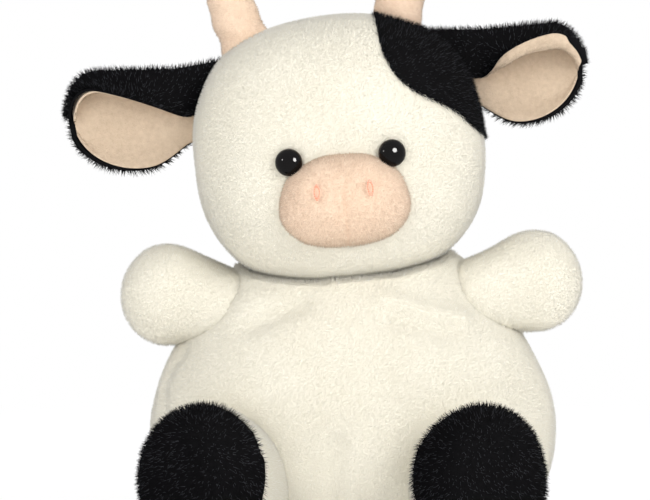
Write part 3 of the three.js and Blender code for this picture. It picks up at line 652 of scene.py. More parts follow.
class Recipe:
    """Builds the nodes of a material or of the world."""

    def __init__(self, owner: bpy.types.Material | bpy.types.World) -> None:
        """Starts with an empty tree.

        Args:
            owner: The new material or world.
        """
        owner.use_nodes = True
        self.owner, self.tree = owner, owner.node_tree
        self.tree.nodes.clear()

    def node(self, kind: str, settings: dict, inputs: dict, out: int | str = 0) -> Optional[Value]:
        """Adds one node.

        Args:
            kind: The node's type.
            settings: Its own properties, set first.
            inputs: Values or links of its sockets, by name or number.
            out: The output to give back.

        Returns:
            The node's output, where it has any.
        """
        made = self.tree.nodes.new(kind)
        for key, value in settings.items():
            setattr(made, key, value)
        for key, value in inputs.items():
            if isinstance(value, Value):
                self.tree.links.new(value.socket, made.inputs[key])
            else:
                made.inputs[key].default_value = value
        return Value(self, made.outputs[out]) if made.outputs else None

    def place(self) -> Value:
        """The point's own Object coordinates."""
        return self.node("ShaderNodeTexCoord", {}, {}, "Object")

    def noise(self, scale: float, detail: float = 2.0, rough: float = 0.5) -> Value:
        """A noise with a number of features per metre and of octaves."""
        inputs = {"Vector": self.place(), "Scale": scale, "Detail": detail, "Roughness": rough}
        return self.node("ShaderNodeTexNoise", {}, inputs)

    def read(self, name: str) -> Value:
        """Reads a number kept on the mesh."""
        return self.node("ShaderNodeAttribute", {"attribute_name": name}, {}, "Fac")

    def blend(self, mask: Value, low: Colour | Value, high: Colour | Value) -> Value:
        """Mixes two colours by a mask from 0 to 1."""
        low, high = (c.linear if isinstance(c, Colour) else c for c in (low, high))
        return self.node("ShaderNodeMix", {"data_type": "RGBA"}, {0: mask, 6: low, 7: high}, 2)

    def bump(self, height: Value, distance: float, strength: float) -> Value:
        """Makes a normal of a height from 0 to 1, whose 1 stands for a distance in metres."""
        return self.node("ShaderNodeBump", {}, {"Height": height, "Distance": distance, "Strength": strength})

    def seen_by(self, *rays: str) -> Value:
        """Gives 1 to the named kinds of ray."""
        return sum(self.node("ShaderNodeLightPath", {}, {}, f"Is {ray} Ray") for ray in rays).clamp()

    def shade(self, **inputs: object) -> bpy.types.Material:
        """Feeds a Principled shader and ends the material with it.

        Args:
            **inputs: Values or links by the sockets' names, with underscores for spaces.

        Returns:
            The finished material.
        """
        named = {key.replace("_", " "): value for key, value in inputs.items()}
        self.node("ShaderNodeOutputMaterial", {}, {0: self.node("ShaderNodeBsdfPrincipled", {}, named)})
        return self.owner


@dataclass(frozen=True)
class Finish:
    """A finish: its name, its colour and the shade that it varies to."""

    name: str
    base: Colour
    shade: Colour

    def mix(self, recipe: Recipe, mask: Value) -> Value:
        """Varies the colour by a mask."""
        return recipe.blend(mask.clamp(), self.shade, self.base)

    def material(self, recipe: Recipe) -> bpy.types.Material:
        """Makes the material; each kind of finish has its own way."""
        raise NotImplementedError


@functools.cache
def look(finish: Finish) -> bpy.types.Material:
    """A finish's material, made once."""
    return finish.material(Recipe(bpy.data.materials.new(finish.name)))


@dataclass(frozen=True)
class PileFinish(Finish):
    """Brushed plush pile: every strand has its own tone, and a share of strands is painted lighter as glints.
    """

    # The colour and the share of strands painted lighter, as glints of light on the fibres
    glint_tone: Colour
    glint_share: float = 0.06
    roughness: float = 0.9
    sheen: float = 0.0
    specular: float = 0.1

    def material(self, recipe: Recipe) -> bpy.types.Material:
        """Makes the strands' material.

        Args:
            recipe: Where its nodes are built.

        Returns:
            The material.
        """
        tone = recipe.read("tone")
        mask = tone * 0.5 + recipe.noise(38.0, 3.0) * 0.9 + recipe.noise(420.0, 2.0) * 0.3 - 0.48
        # Strands in the top share take the lighter colour: painted highlights on the fibres
        colour = recipe.blend(tone.above(1 - self.glint_share, 0.01), self.mix(recipe, mask), self.glint_tone)
        rest = {"Roughness": self.roughness, "Sheen_Weight": self.sheen, "Specular_IOR_Level": self.specular}
        return recipe.shade(Base_Color=colour, **rest)


class BackingFinish(Finish):
    """The knitted ground that a pile grows from."""

    def material(self, recipe: Recipe) -> bpy.types.Material:
        """Makes the ground's material.

        Args:
            recipe: Where its nodes are built.

        Returns:
            The material.
        """
        fuzz = recipe.noise(900.0, 3.0, 0.7)
        colour = self.mix(recipe, recipe.noise(34.0, 3.0) * 1.4 + fuzz * 0.5 - 0.5)
        normal = recipe.bump(fuzz, 0.0006, 0.6)
        return recipe.shade(Base_Color=colour, Normal=normal, Roughness=0.95, Specular_IOR_Level=0.05)


@dataclass(frozen=True)
class NapFinish(Finish):
    """Short sheared plush with a knitted ground showing through."""

    seam: Colour

    def material(self, recipe: Recipe) -> bpy.types.Material:
        """Makes the sheared plush.

        Args:
            recipe: Where its nodes are built.

        Returns:
            The material.
        """
        tufts = recipe.noise(420.0, 3.0, 0.6)
        colour = self.mix(recipe, recipe.noise(45.0, 2.0) * 1.2 + tufts * 2.0 - 1.1)
        colour = recipe.blend(recipe.read("seam").clamp(), colour, self.seam)
        normal = recipe.bump(recipe.noise(1500.0, 2.0, 0.6) * 0.4 + tufts * 0.6, 0.0011, 0.7)
        rest = {"Roughness": 0.93, "Specular_IOR_Level": 0.08, "Sheen_Weight": 0.1}
        return recipe.shade(Base_Color=colour, Normal=normal, **rest)


class EyeFinish(Finish):
    """Black moulded plastic, painted brown near its rim as a reflection."""

    def material(self, recipe: Recipe) -> bpy.types.Material:
        """Makes the glossy plastic.

        Args:
            recipe: Where its nodes are built.

        Returns:
            The material.
        """
        worn = recipe.noise(300.0, 2.0) * 0.05 + 0.04
        # Brown towards the rim is a painted reflection at the dome's edge
        colour = recipe.blend(recipe.read("rim"), self.base, self.shade)
        return recipe.shade(Base_Color=colour, Roughness=worn, Specular_IOR_Level=0.15)


class ThreadFinish(Finish):
    """Satin embroidery thread, ribbed by its stitches."""

    def material(self, recipe: Recipe) -> bpy.types.Material:
        """Makes the thread.

        Args:
            recipe: Where its nodes are built.

        Returns:
            The material.
        """
        settings = {"wave_type": "BANDS", "bands_direction": "Z"}
        ribs = recipe.node("ShaderNodeTexWave", settings, {"Vector": recipe.place(), "Scale": 420.0}, 1)
        normal = recipe.bump(ribs, 0.0002, 0.6)
        colour = self.mix(recipe, ribs)
        return recipe.shade(Base_Color=colour, Normal=normal, Roughness=0.45, Sheen_Weight=0.2)


class PlasticFinish(Finish):
    """Plain moulded plastic, slightly worn."""

    def material(self, recipe: Recipe) -> bpy.types.Material:
        """Makes the plastic."""
        worn = recipe.noise(260.0, 4.0)
        return recipe.shade(Base_Color=self.mix(recipe, worn), Roughness=worn * 0.2 + 0.4)


WHITE_BACKING = BackingFinish("white_backing", Colour(245, 241, 226), Colour(234, 229, 212))
WHITE_PILE = PileFinish(
    "white_pile", Colour(250, 247, 234), Colour(240, 236, 220), Colour(254, 253, 244), sheen=0.3
)
BLACK_BACKING = BackingFinish("black_backing", Colour(15, 15, 17), Colour(9, 9, 11))
# A fifth of the black pile's strands take its lighter colour: painted glints of light on the fibres
BLACK_PILE = PileFinish(
    "black_pile", Colour(22, 22, 24), Colour(10, 10, 12), Colour(52, 53, 57), 0.2, 0.8, specular=0.03
)
PEACH_NAP = NapFinish("peach_nap", Colour(246, 221, 196), Colour(236, 207, 181), Colour(206, 158, 124))
# The lining is set darker and more muted than the muzzle's peach: partly its own beige, partly painted shade
# inside the ear's cup
LINING_NAP = NapFinish("lining_nap", Colour(217, 197, 173), Colour(201, 180, 156), Colour(190, 150, 120))
LINING_PILE = PileFinish("lining_pile", Colour(231, 211, 188), Colour(184, 163, 139), Colour(241, 223, 204))
PEACH_PILE = PileFinish("peach_pile", Colour(251, 228, 205), Colour(217, 189, 163), Colour(254, 239, 221))
# The eye's second colour is the brown of a painted reflection near its rim
EYE_GLOSS = EyeFinish("eye_gloss", Colour(9, 7, 7), Colour(58, 34, 22))
NOSTRIL_THREAD = ThreadFinish("nostril_satin", Colour(248, 184, 154), Colour(232, 144, 112))
WASHER_PLASTIC = PlasticFinish("washer_white", Colour(232, 232, 228), Colour(214, 214, 208))


# Pile


@dataclass(frozen=True)
class Pile:
    """How a pile stands: sizes in millimetres."""

    length: float
    spacing: float
    width: float = 0.42
    lean: float = 0.5
    jitter: float = 0.3
    spread: float = 0.3
    comb: Comb = Comb.DOWN
    seed: int = 1
    root_sunk: float = 0.4
    thinned: float = 0.45
    own_normal: float = 0.15

    @classmethod
    def white(cls, seed: int) -> "Pile":
        """The short, even, upright pile of the white plush."""
        return cls(1.2, SPACING, lean=0.28, jitter=0.22, spread=0.14, seed=seed)

    def grow(self, name: str, skin: Piece, finish: Finish, keep: Keep) -> Piece:
        """Grows strands from a skin, as small closed spikes.

        Args:
            name: The pile's name.
            skin: What it grows from.
            finish: The strands' finish.
            keep: Given roots and normals, which of them grow.

        Returns:
            The pile.
        """
        coarse = 1.0
        rng = np.random.default_rng(self.seed)
        skin.data.calc_loop_triangles()
        count = len(skin.data.loop_triangles)
        corners = np.empty(count * 3, np.int32)
        skin.data.loop_triangles.foreach_get("vertices", corners)
        corners = corners.reshape(-1, 3)
        points = points_of(skin)
        a, b, c = (points[corners[:, k]] for k in range(3))
        total = np.cumsum(np.linalg.norm(np.cross(b - a, c - a), axis=1) / 2)
        wanted = int(total[-1] / (self.spacing * coarse) ** 2)
        at = (np.arange(wanted) + rng.random(wanted)) * (total[-1] / wanted)
        face = corners[np.minimum(np.searchsorted(total, at), count - 1)]
        u, v = rng.random(wanted), rng.random(wanted)
        flip = u + v > 1
        u, v = np.where(flip, 1 - u, u), np.where(flip, 1 - v, v)
        shares = np.stack([1 - u - v, u, v], axis=1)[:, :, None]
        roots = (points[face] * shares).sum(axis=1)
        normals = unit((vectors_of(skin, "normal")[face] * shares).sum(axis=1))
        # Backs and undersides carry fewer strands, to keep the toy light
        away = np.clip(np.maximum(normals[:, 1] - 0.1, -normals[:, 2] - 0.4) / 0.3, 0, 1)
        kept = keep(roots, normals) & ((np.arange(wanted) * GOLDEN_SHARE) % 1 < 1 - self.thinned * away)
        piece = self._strands(name, roots[kept], normals[kept], rng, coarse)
        piece.data.materials.append(look(finish))
        return piece

    def _strands(
        self, name: str, roots: Array, normals: Array, rng: np.random.Generator, coarse: float
    ) -> Piece:
        """Builds the spikes' mesh.

        Args:
            name: The pile's name.
            roots: Where strands start.
            normals: The skin's directions there.
            rng: The seeded source of chance.

        Returns:
            The pile.
        """
        count = len(roots)
        brushed = UPWARD if self.comb is Comb.UP else -UPWARD
        if self.comb is Comb.OUTWARD:
            brushed = unit(roots - roots.mean(axis=0))
        brushed = brushed - normals * (normals * brushed).sum(axis=1, keepdims=True)
        sweep = np.sin(roots @ np.array([0.09, 0.05, 0.07]))[:, None]
        brushed = brushed + 0.35 * (sweep * np.cross(normals, unit(brushed + 1e-6)))
        way = unit(normals + self.lean * brushed + rng.normal(size=(count, 3)) * self.jitter)
        way = unit(way + normals * np.maximum(0, 0.25 - (way * normals).sum(axis=1, keepdims=True)))
        length = self.length * (1 + self.spread * (2 * rng.random(count) - 1))
        side = unit(np.cross(way, unit(rng.normal(size=(count, 3)))))
        over = np.cross(way, side)
        radius = self.width / 2 * coarse * (0.8 + 0.4 * rng.random(count))
        angles = (np.arange(3) * 2 * math.pi / 3)[None, :, None]
        foot = (side[:, None] * np.cos(angles) + over[:, None] * np.sin(angles)) * radius[:, None, None]
        base = roots[:, None] - normals[:, None] * self.root_sunk + foot
        tips = roots + way * length[:, None]
        places = np.concatenate([base, tips[:, None]], axis=1)
        places[:, :, 2] = np.maximum(places[:, :, 2], 0.1)
        faces = np.array([[0, 1, 3], [1, 2, 3], [2, 0, 3], [0, 2, 1]])
        order = (np.arange(count)[:, None, None] * 4 + faces[None]).reshape(-1)
        mesh = bpy.data.meshes.new(name)
        for group, size in ((mesh.vertices, 4), (mesh.loops, 12), (mesh.polygons, 4)):
            group.add(count * size)
        mesh.vertices.foreach_set("co", (places * MM).astype(np.float32).ravel())
        mesh.loops.foreach_set("vertex_index", order.astype(np.int32))
        mesh.polygons.foreach_set("loop_start", np.arange(count * 4, dtype=np.int32) * 3)
        mesh.polygons.foreach_set("use_smooth", np.ones(count * 4, bool))
        columns = math.ceil(math.sqrt(count))
        cell = np.stack([np.arange(count) % columns, np.arange(count) // columns], axis=1)
        corner = np.array([[0.06, 0.06], [0.94, 0.06], [0.06, 0.94]])
        spots = np.broadcast_to((cell[:, None, None] + corner[None, None]) / columns, (count, 4, 3, 2))
        mesh.uv_layers.new(name="OFBake").data.foreach_set("uv", spots.astype(np.float32).ravel())
        piece = bpy.data.objects.new(name, mesh)
        number_on(piece, "tone", np.repeat(rng.random(count), 4))
        mesh.update(calc_edges=True)
        shown = unit(normals + self.own_normal * way)
        mesh.normals_split_custom_set_from_vertices(np.repeat(shown, 4, axis=0))
        bpy.context.scene.collection.objects.link(piece)
        return piece


def everywhere(roots: Array, normals: Array) -> Array:
    """Grows on every root."""
    return np.ones(len(roots), bool)


def number_on(piece: Piece, name: str, values: Array) -> None:
    """Keeps one number a point on a mesh, for its material."""
    kept = piece.data.attributes.new(name, "FLOAT", "POINT")
    kept.data.foreach_set("value", values.astype(np.float32))


def wear(piece: Piece, finish: Finish) -> None:
    """Gives a piece one finish."""
    piece.data.materials.clear()
    piece.data.materials.append(look(finish))


@dataclass(frozen=True)
class Seam:
    """Fabric that crosses a joint: the second body beyond it and the seam's ends, in millimetres."""

    beyond: str
    start: Array
    end: Array


def sew(
    pieces: Sequence[Piece],
    body: str,
    nodes: Sequence[str] = (),
    seam: Optional[Seam] = None,
) -> None:
    """Hangs pieces on the body that they ride on, or fixes them in place where they cross a joint, and hides
    the CAD nodes that the first stands for.

    Args:
        pieces: The skin first, then its piles.
        body: The body that they ride on.
        nodes: CAD nodes that the first piece stands for.
        seam: The way to a second body, where they cross a joint; such pieces are fixed in place.
    """
    for piece in pieces:
        if seam:
            tuple(seam.start * MM)
            tuple(seam.end * MM)
            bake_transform(piece)
        else:
            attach(piece, body)
    if nodes:
        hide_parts(*nodes)


# The toy's parts


@dataclass
class Arm:
    """One mitten-shaped arm, sewn into the shoulder seam."""

    side: Side
    lift: float
    root_radius: float = 18.0
    end_radius: float = 23.0
    length: float = 23.0
    root_x: float = 62.0
    root_z: float = 109.0
    forward: float = 20.0
    shoulder: tuple[float, float] = (57.0, -13.0)
    shoulder_radius: float = 19.0

    @property
    def form(self) -> LimbForm:
        """The arm's CAD form.

        Returns:
            The form, in the toy's frame.
        """
        lift, forward, sign = math.radians(self.lift), math.radians(self.forward), self.side.value
        way = np.array([sign * math.cos(lift) * math.cos(forward), -math.sin(forward), math.sin(lift)])
        root = np.array([sign * self.root_x, 0.0, self.root_z])
        return LimbForm(root, root + way * self.length, self.root_radius, self.end_radius)

    def depth(self, points: Array) -> Array:
        """Distance outside the arm with its full shoulder.

        Args:
            points: Places in the toy's frame.

        Returns:
            Positive numbers outside.
        """
        form, (across, ahead) = self.form, self.shoulder
        root = np.array([self.side.value * across, ahead, self.root_z - 6.0 + self.lift * 0.4])
        full = LimbForm(root, form.end, self.shoulder_radius, self.end_radius)
        return FABRIC_INSET - soft_max(-form.depth(points), -full.depth(points), 4.0)

    def build(self, torso: "Torso") -> None:
        """Makes the arm's skin and pile.

        Args:
            torso: What the arm is sewn to.
        """
        word, sign, form = self.side.word, self.side.value, self.form
        root, end, axis = form.root, form.end, form.axis
        skin = ball_skin(f"arm_plush_{word}", (root + end) / 2, 60.0, self.depth, 5)
        held = root + axis * 2
        stuffed(skin, lambda p: np.where((p - held) @ axis < 0, -1.0, 1.0), 1.6, 3.6)
        palm = Bulge(end + np.array([0, -form.end_radius * 0.9, -4]), (16, 12, 13), -1.6)
        crook = Bulge(root + np.array([sign * 14.0, -14.0, -16.0]), (9, 9, 8), -1.8)
        back = Bulge(end + np.array([sign * 8.0, 2.0, form.end_radius]), (14, 14, 9), 1.2)
        pucker = Fold((root + [0, -17, 12], root + [sign * 9, -19, -2]), 4.5, -1.2)
        press(skin, [palm, crook, back, pucker], 0.35)
        wear(skin, WHITE_BACKING)
        pile = Pile.white(31 + sign).grow(
            f"arm_pile_{word}", skin, WHITE_PILE, lambda r, n: torso.form.depth(r) > -9
        )
        seam = Seam(f"arm_{word}", root - axis * 4, root + axis * 16)
        nodes = (f"arm_skin_{word}", f"arm_stuffing_{word}")
        sew((skin, pile), "torso", nodes, seam)
        LOG.info("arm %s: %d strands", word, len(pile.data.polygons) // 4)


@dataclass
class Leg:
    """One leg: a white sleeve that ends in a black hoof with a flat sole."""

    side: Side
    splay: float
    root_radius: float = 26.0
    end_radius: float = 35.0
    narrow: float = 0.81
    length: float = 46.0
    root: Triple = (43.0, -35.0, 26.3)
    seam_share: float = 1.04
    sole_share: float = 0.82
    inner_swell: float = 5.5

    @property
    def form(self) -> LimbForm:
        """The leg's CAD form.

        Returns:
            The form, in the toy's frame.
        """
        splay, sign = math.radians(self.splay), self.side.value
        level = self.end_radius - 0.5 - self.root[2]
        flat = math.sqrt(self.length**2 - level**2)
        root = np.array([sign * self.root[0], *self.root[1:]])
        end = root + np.array([sign * math.sin(splay) * flat, -math.cos(splay) * flat, level])
        return LimbForm(root, end, self.root_radius, self.end_radius, self.narrow)

    def depth(self, points: Array) -> Array:
        """Distance outside the leg with its flat sole and the ground.

        Args:
            points: Places in the toy's frame.

        Returns:
            Positive numbers outside.
        """
        form = self.form
        sole = form.end + form.axis * (self.end_radius * self.sole_share - FABRIC_INSET)
        body = soft_max(form.depth(points) + FABRIC_INSET, (points - sole) @ form.axis, 9.0)
        return soft_max(body, FABRIC_INSET - points[:, 2], 3.0)

    def build(self, torso: "Torso") -> None:
        """Makes the sleeve and the hoof.

        Args:
            torso: What the leg is sewn to.
        """
        form, sign, word = self.form, self.side.value, self.side.word
        root, end, axis = form.root, form.end, form.axis
        self._half(torso, -1, root + axis * 20, [])
        sole = end + axis * self.end_radius * self.sole_share
        inner = end + np.array([-sign * self.end_radius * self.narrow, 4.0, 6.0])
        swells = [
            Bulge(sole + np.array([0, 0, 3.0]), (22, 14, 22), -1.4),
            Bulge(inner, (15, 30, 30), self.inner_swell),
            Bulge(end + np.array([sign * 20.0, 4.0, 26.0]), (16, 26, 16), 1.6),
        ]
        self._half(torso, 1, end + axis * 15, swells)
        LOG.info("leg %s", word)

    def _half(self, torso: "Torso", way: int, middle: Array, swells: Sequence[Bulge]) -> None:
        """Makes the skin and the pile on one side of the hoof's seam.

        Args:
            torso: What the leg is sewn to.
            way: 1 for the black hoof, -1 for the white sleeve.
            middle: A point inside this half.
            swells: Its swellings and hollows.
        """
        word, root, axis, black = self.side.word, self.form.root, self.form.axis, way > 0
        stitches = root + axis * self.length * self.seam_share

        def cut(points: Array) -> Array:
            """Distance outside this half of the leg."""
            beyond = (stitches - points) @ axis * way + (0.3 if black else -2.0)
            return soft_max(self.depth(points), beyond, 2.0)

        def keep(roots: Array, normals: Array) -> Array:
            """Leaves out what the ground, the torso and the other half hide.

            Args:
                roots: Where strands could start.
                normals: The skin's directions there.

            Returns:
                True where one grows.
            """
            shown = (roots[:, 2] > 1.2) & (torso.form.depth(roots) > -9)
            inner = (roots - stitches) @ axis
            return shown & ((inner > 1.0) if black else (inner < 1.5))

        kind = "hoof" if black else "leg"
        skin = ball_skin(f"{kind}_plush_{word}", middle, 75.0, cut, 6 if black else 5)
        stuffed(skin, lambda p: np.abs((p - stitches) @ axis) - 3.5, 1.4, 3.8)
        press(skin, swells, 0.5)
        wear(skin, BLACK_BACKING if black else WHITE_BACKING)
        seed = 51 + self.side.value + way
        pile = Pile(2.6, SPACING * 1.1, seed=seed) if black else Pile.white(seed)
        strands = pile.grow(f"{kind}_pile_{word}", skin, BLACK_PILE if black else WHITE_PILE, keep)
        if black:
            sew((skin, strands), f"leg_{word}", (f"hoof_{word}", f"leg_stuffing_{word}"))
        else:
            seam = Seam(f"leg_{word}", root - axis * 6, root + axis * 14)
            sew((skin, strands), "torso", (f"leg_sleeve_{word}",), seam)


@dataclass
class Tail:
    """The short tail with its black tuft."""

    root_radius: float = 4.6
    length: float = 40.0
    root: Triple = (0.0, 60.687, 42.0)
    fall: float = 38.0
    tuft_radius: float = 7.0
    tuft_length: float = 27.0

    def build(self) -> None:
        """Makes the tail, its tuft and their pile."""
        fall = math.radians(self.fall)
        axis = np.array([0.0, math.cos(fall), -math.sin(fall)])
        root = np.array(self.root)
        end = root + axis * self.length
        side = np.array([1.0, 0.0, 0.0])

        def along(turn: Array, rise: Array, first: Array, span: float, radius: Array) -> Array:
            """Places rings of a given radius along the tail's line."""
            rings = ring(turn, side, np.cross(side, axis)) * radius[:, None]
            return first + axis * (rise * span)[:, None] + rings

        def tail_place(turn: Array, rise: Array) -> Array:
            """The tail's tube with rounded ends."""
            radius = self.root_radius * np.clip(np.sin(math.pi * rise), 0, 1) ** 0.28
            return along(turn, rise, root - axis * 5, self.length + 7, radius)

        def tuft_place(turn: Array, rise: Array) -> Array:
            """The tuft's drop."""
            radius = self.tuft_radius * np.clip(np.sin(math.pi * rise**0.8), 0, 1) ** 0.7
            return along(turn, rise, end - axis * 4, self.tuft_length, radius)

        tube = wrapped("tail_plush", 32, 40, tail_place)
        tuft = wrapped("tuft_plush", 40, 32, tuft_place)
        wear(tube, WHITE_BACKING)
        wear(tuft, BLACK_BACKING)
        pile = Pile(2.3, 0.75, seed=71).grow("tail_pile", tube, WHITE_PILE, everywhere)
        strands = Pile(6.5, 0.62, 0.6, 1.4, 0.35, seed=72).grow("tuft_pile", tuft, BLACK_PILE, everywhere)
        seam = Seam("tail", root - axis * 2, root + axis * 9)
        sew((tube, pile), "torso", ("tail",), seam)
        sew((tuft, strands), "tail", ("tail_tuft",))
        LOG.info("tail")


@dataclass
class Torso:
    """The pear-shaped body with its folds, and the padding under the neck."""

    head: HeadForm
    form: PearForm = field(default_factory=PearForm)
    arms: tuple[Arm, Arm] = field(default_factory=lambda: (Arm(Side.LEFT, 24.0), Arm(Side.RIGHT, 8.0)))
    legs: tuple[Leg, Leg] = field(
        default_factory=lambda: (Leg(Side.LEFT, 14.0), Leg(Side.RIGHT, 28.0, inner_swell=6.5))
    )
    folds: tuple[Fold | Bulge, ...] = (
        # From the left armpit in under the chin
        Fold(((-54, -30, 92), (-40, -42, 104), (-24, -46, 113)), 6.0, -3.2),
        Bulge((-50, -34, 110), (14, 12, 9), 2.0),
        # From the chin out to the right armpit
        Fold(((14, -46, 114), (32, -44, 108), (47, -36, 103)), 5.5, 2.4),
        Fold(((20, -48, 104), (38, -44, 98), (52, -34, 95)), 6.0, -1.8),
        # Swellings over the hips
        Bulge((52, -46, 66), (24, 20, 14), 3.0),
        Bulge((-56, -42, 66), (22, 20, 14), 2.4),
        Fold(((-80, -20, 88), (-86, -16, 74), (-84, -22, 62)), 6.0, -1.6),
        # The middle of the belly, drawn in by its seam
        Fold(((-7, -62, 50), (-8, -62, 36), (-7, -60, 20)), 5.0, -1.6),
        Bulge((8, -60, 44), (14, 14, 20), 1.0),
        Bulge((-28, -60, 46), (12, 14, 18), 0.8),
    )
    bands: tuple[tuple[str, float, float], ...] = (
        ("front", -math.inf, -30), ("middle", -30, 20), ("back", 20, math.inf),
    )
    rim_in_sweep: float = 3.0
    rim_gap: float = 0.5
    rim_rounding: float = 2.2

    def depth(self, points: Array) -> Array:
        """Distance outside the body, dished where the head turns.

        Args:
            points: Places in the toy's frame.

        Returns:
            Positive numbers outside.
        """
        body = soft_max(self.form.depth(points) + FABRIC_INSET, FABRIC_INSET - 0.5 - points[:, 2], 4.0)
        swept, at_rest = self.head.swept_depth(points), self.head.depth(points)
        room = np.maximum(-self.rim_in_sweep - swept, self.rim_gap - at_rest)
        return soft_max(body, room, self.rim_rounding)

    def _seams(self, points: Array) -> Array:
        """Negative on the side seams, the neck's rim and the seat."""
        rim = self.head.swept_depth(points) - 4
        return np.min([np.abs(points[:, 1] - 4) - 3, points[:, 2] - 4, rim], axis=0)

    def build(self) -> None:
        """Makes the body's skin and pile."""
        skin = ball_skin("torso_plush", np.array([0.0, 0.0, 62.0]), 125.0, self.depth, 6)
        stuffed(skin, self._seams, 2.6)
        press(skin, self.folds, 0.6)
        points = points_of(skin)
        points[:, 2] = np.maximum(points[:, 2], 0.05)
        set_points(skin, points)
        wear(skin, WHITE_BACKING)
        piles = []
        for name, low, high in self.bands:
            keep = functools.partial(self._shown, low, high)
            piles.append(Pile.white(11).grow(f"torso_pile_{name}", skin, WHITE_PILE, keep))
        collar = Pile(2.4, 0.62, comb=Comb.UP, seed=13).grow("collar_pile", skin, WHITE_PILE, self._at_rim)
        nodes = ("torso_skin", "torso_stuffing", "pellet_bag")
        sew((skin, *piles, collar), "torso", nodes)
        LOG.info("torso: %d strands", sum(len(pile.data.polygons) for pile in piles) // 4)
        self._neck()

    def _at_rim(self, roots: Array, normals: Array) -> Array:
        """Finds the roots on the rim that meets the head's underside.

        Args:
            roots: Where strands could start.
            normals: The skin's directions there.

        Returns:
            True where one grows.
        """
        near = self.head.depth(roots)
        outside = np.hypot((roots[:, 0] - NECK_X) / 1.3, roots[:, 1]) > 28
        return (near < 3.4) & (near > -1) & outside

    def _shown(self, low: float, high: float, roots: Array, normals: Array) -> Array:
        """Leaves out what the seat, the head and the limbs hide.

        Args:
            low: Where this band of the pile starts, front to back.
            high: Where it ends.
            roots: Where strands could start.
            normals: The skin's directions there.

        Returns:
            True where one grows.
        """
        shown = (roots[:, 1] >= low) & (roots[:, 1] < high) & (roots[:, 2] > 1.0)
        for limb in (*self.arms, *self.legs):
            shown &= limb.form.depth(roots) > -8
        upward = (normals[:, 2] > 0.2) & (self.head.depth(roots) < 16)
        return shown & ~(upward & (np.abs(roots[:, 0] - NECK_X) < 32) & (np.abs(roots[:, 1]) < 26))

    def _neck(self) -> None:
        """Makes the wad of stuffing that carries the head."""
        low, high = (np.array(corner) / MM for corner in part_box("neck_stuffing"))
        middle, half = (low + high) / 2, (high - low) / 2

        def place(turn: Array, rise: Array) -> Array:
            """Places the squat, rounded wad.

            Args:
                turn: Shares of the turn.
                rise: Shares of the way up.

            Returns:
                Places in millimetres.
            """
            spin = turn * 2 * math.pi
            radius = np.clip(np.sin(math.pi * rise), 0, 1) ** 0.35 * (1 - 0.03 * np.cos(9 * spin))
            shares = (radius * np.cos(spin), radius * np.sin(spin), -np.cos(math.pi * rise) * 0.96)
            return middle + half * np.stack(shares, axis=1)

        wad = wrapped("neck_wad", 72, 24, place)
        wear(wad, WHITE_BACKING)
        sew((wad,), "neck", ("neck_stuffing",))


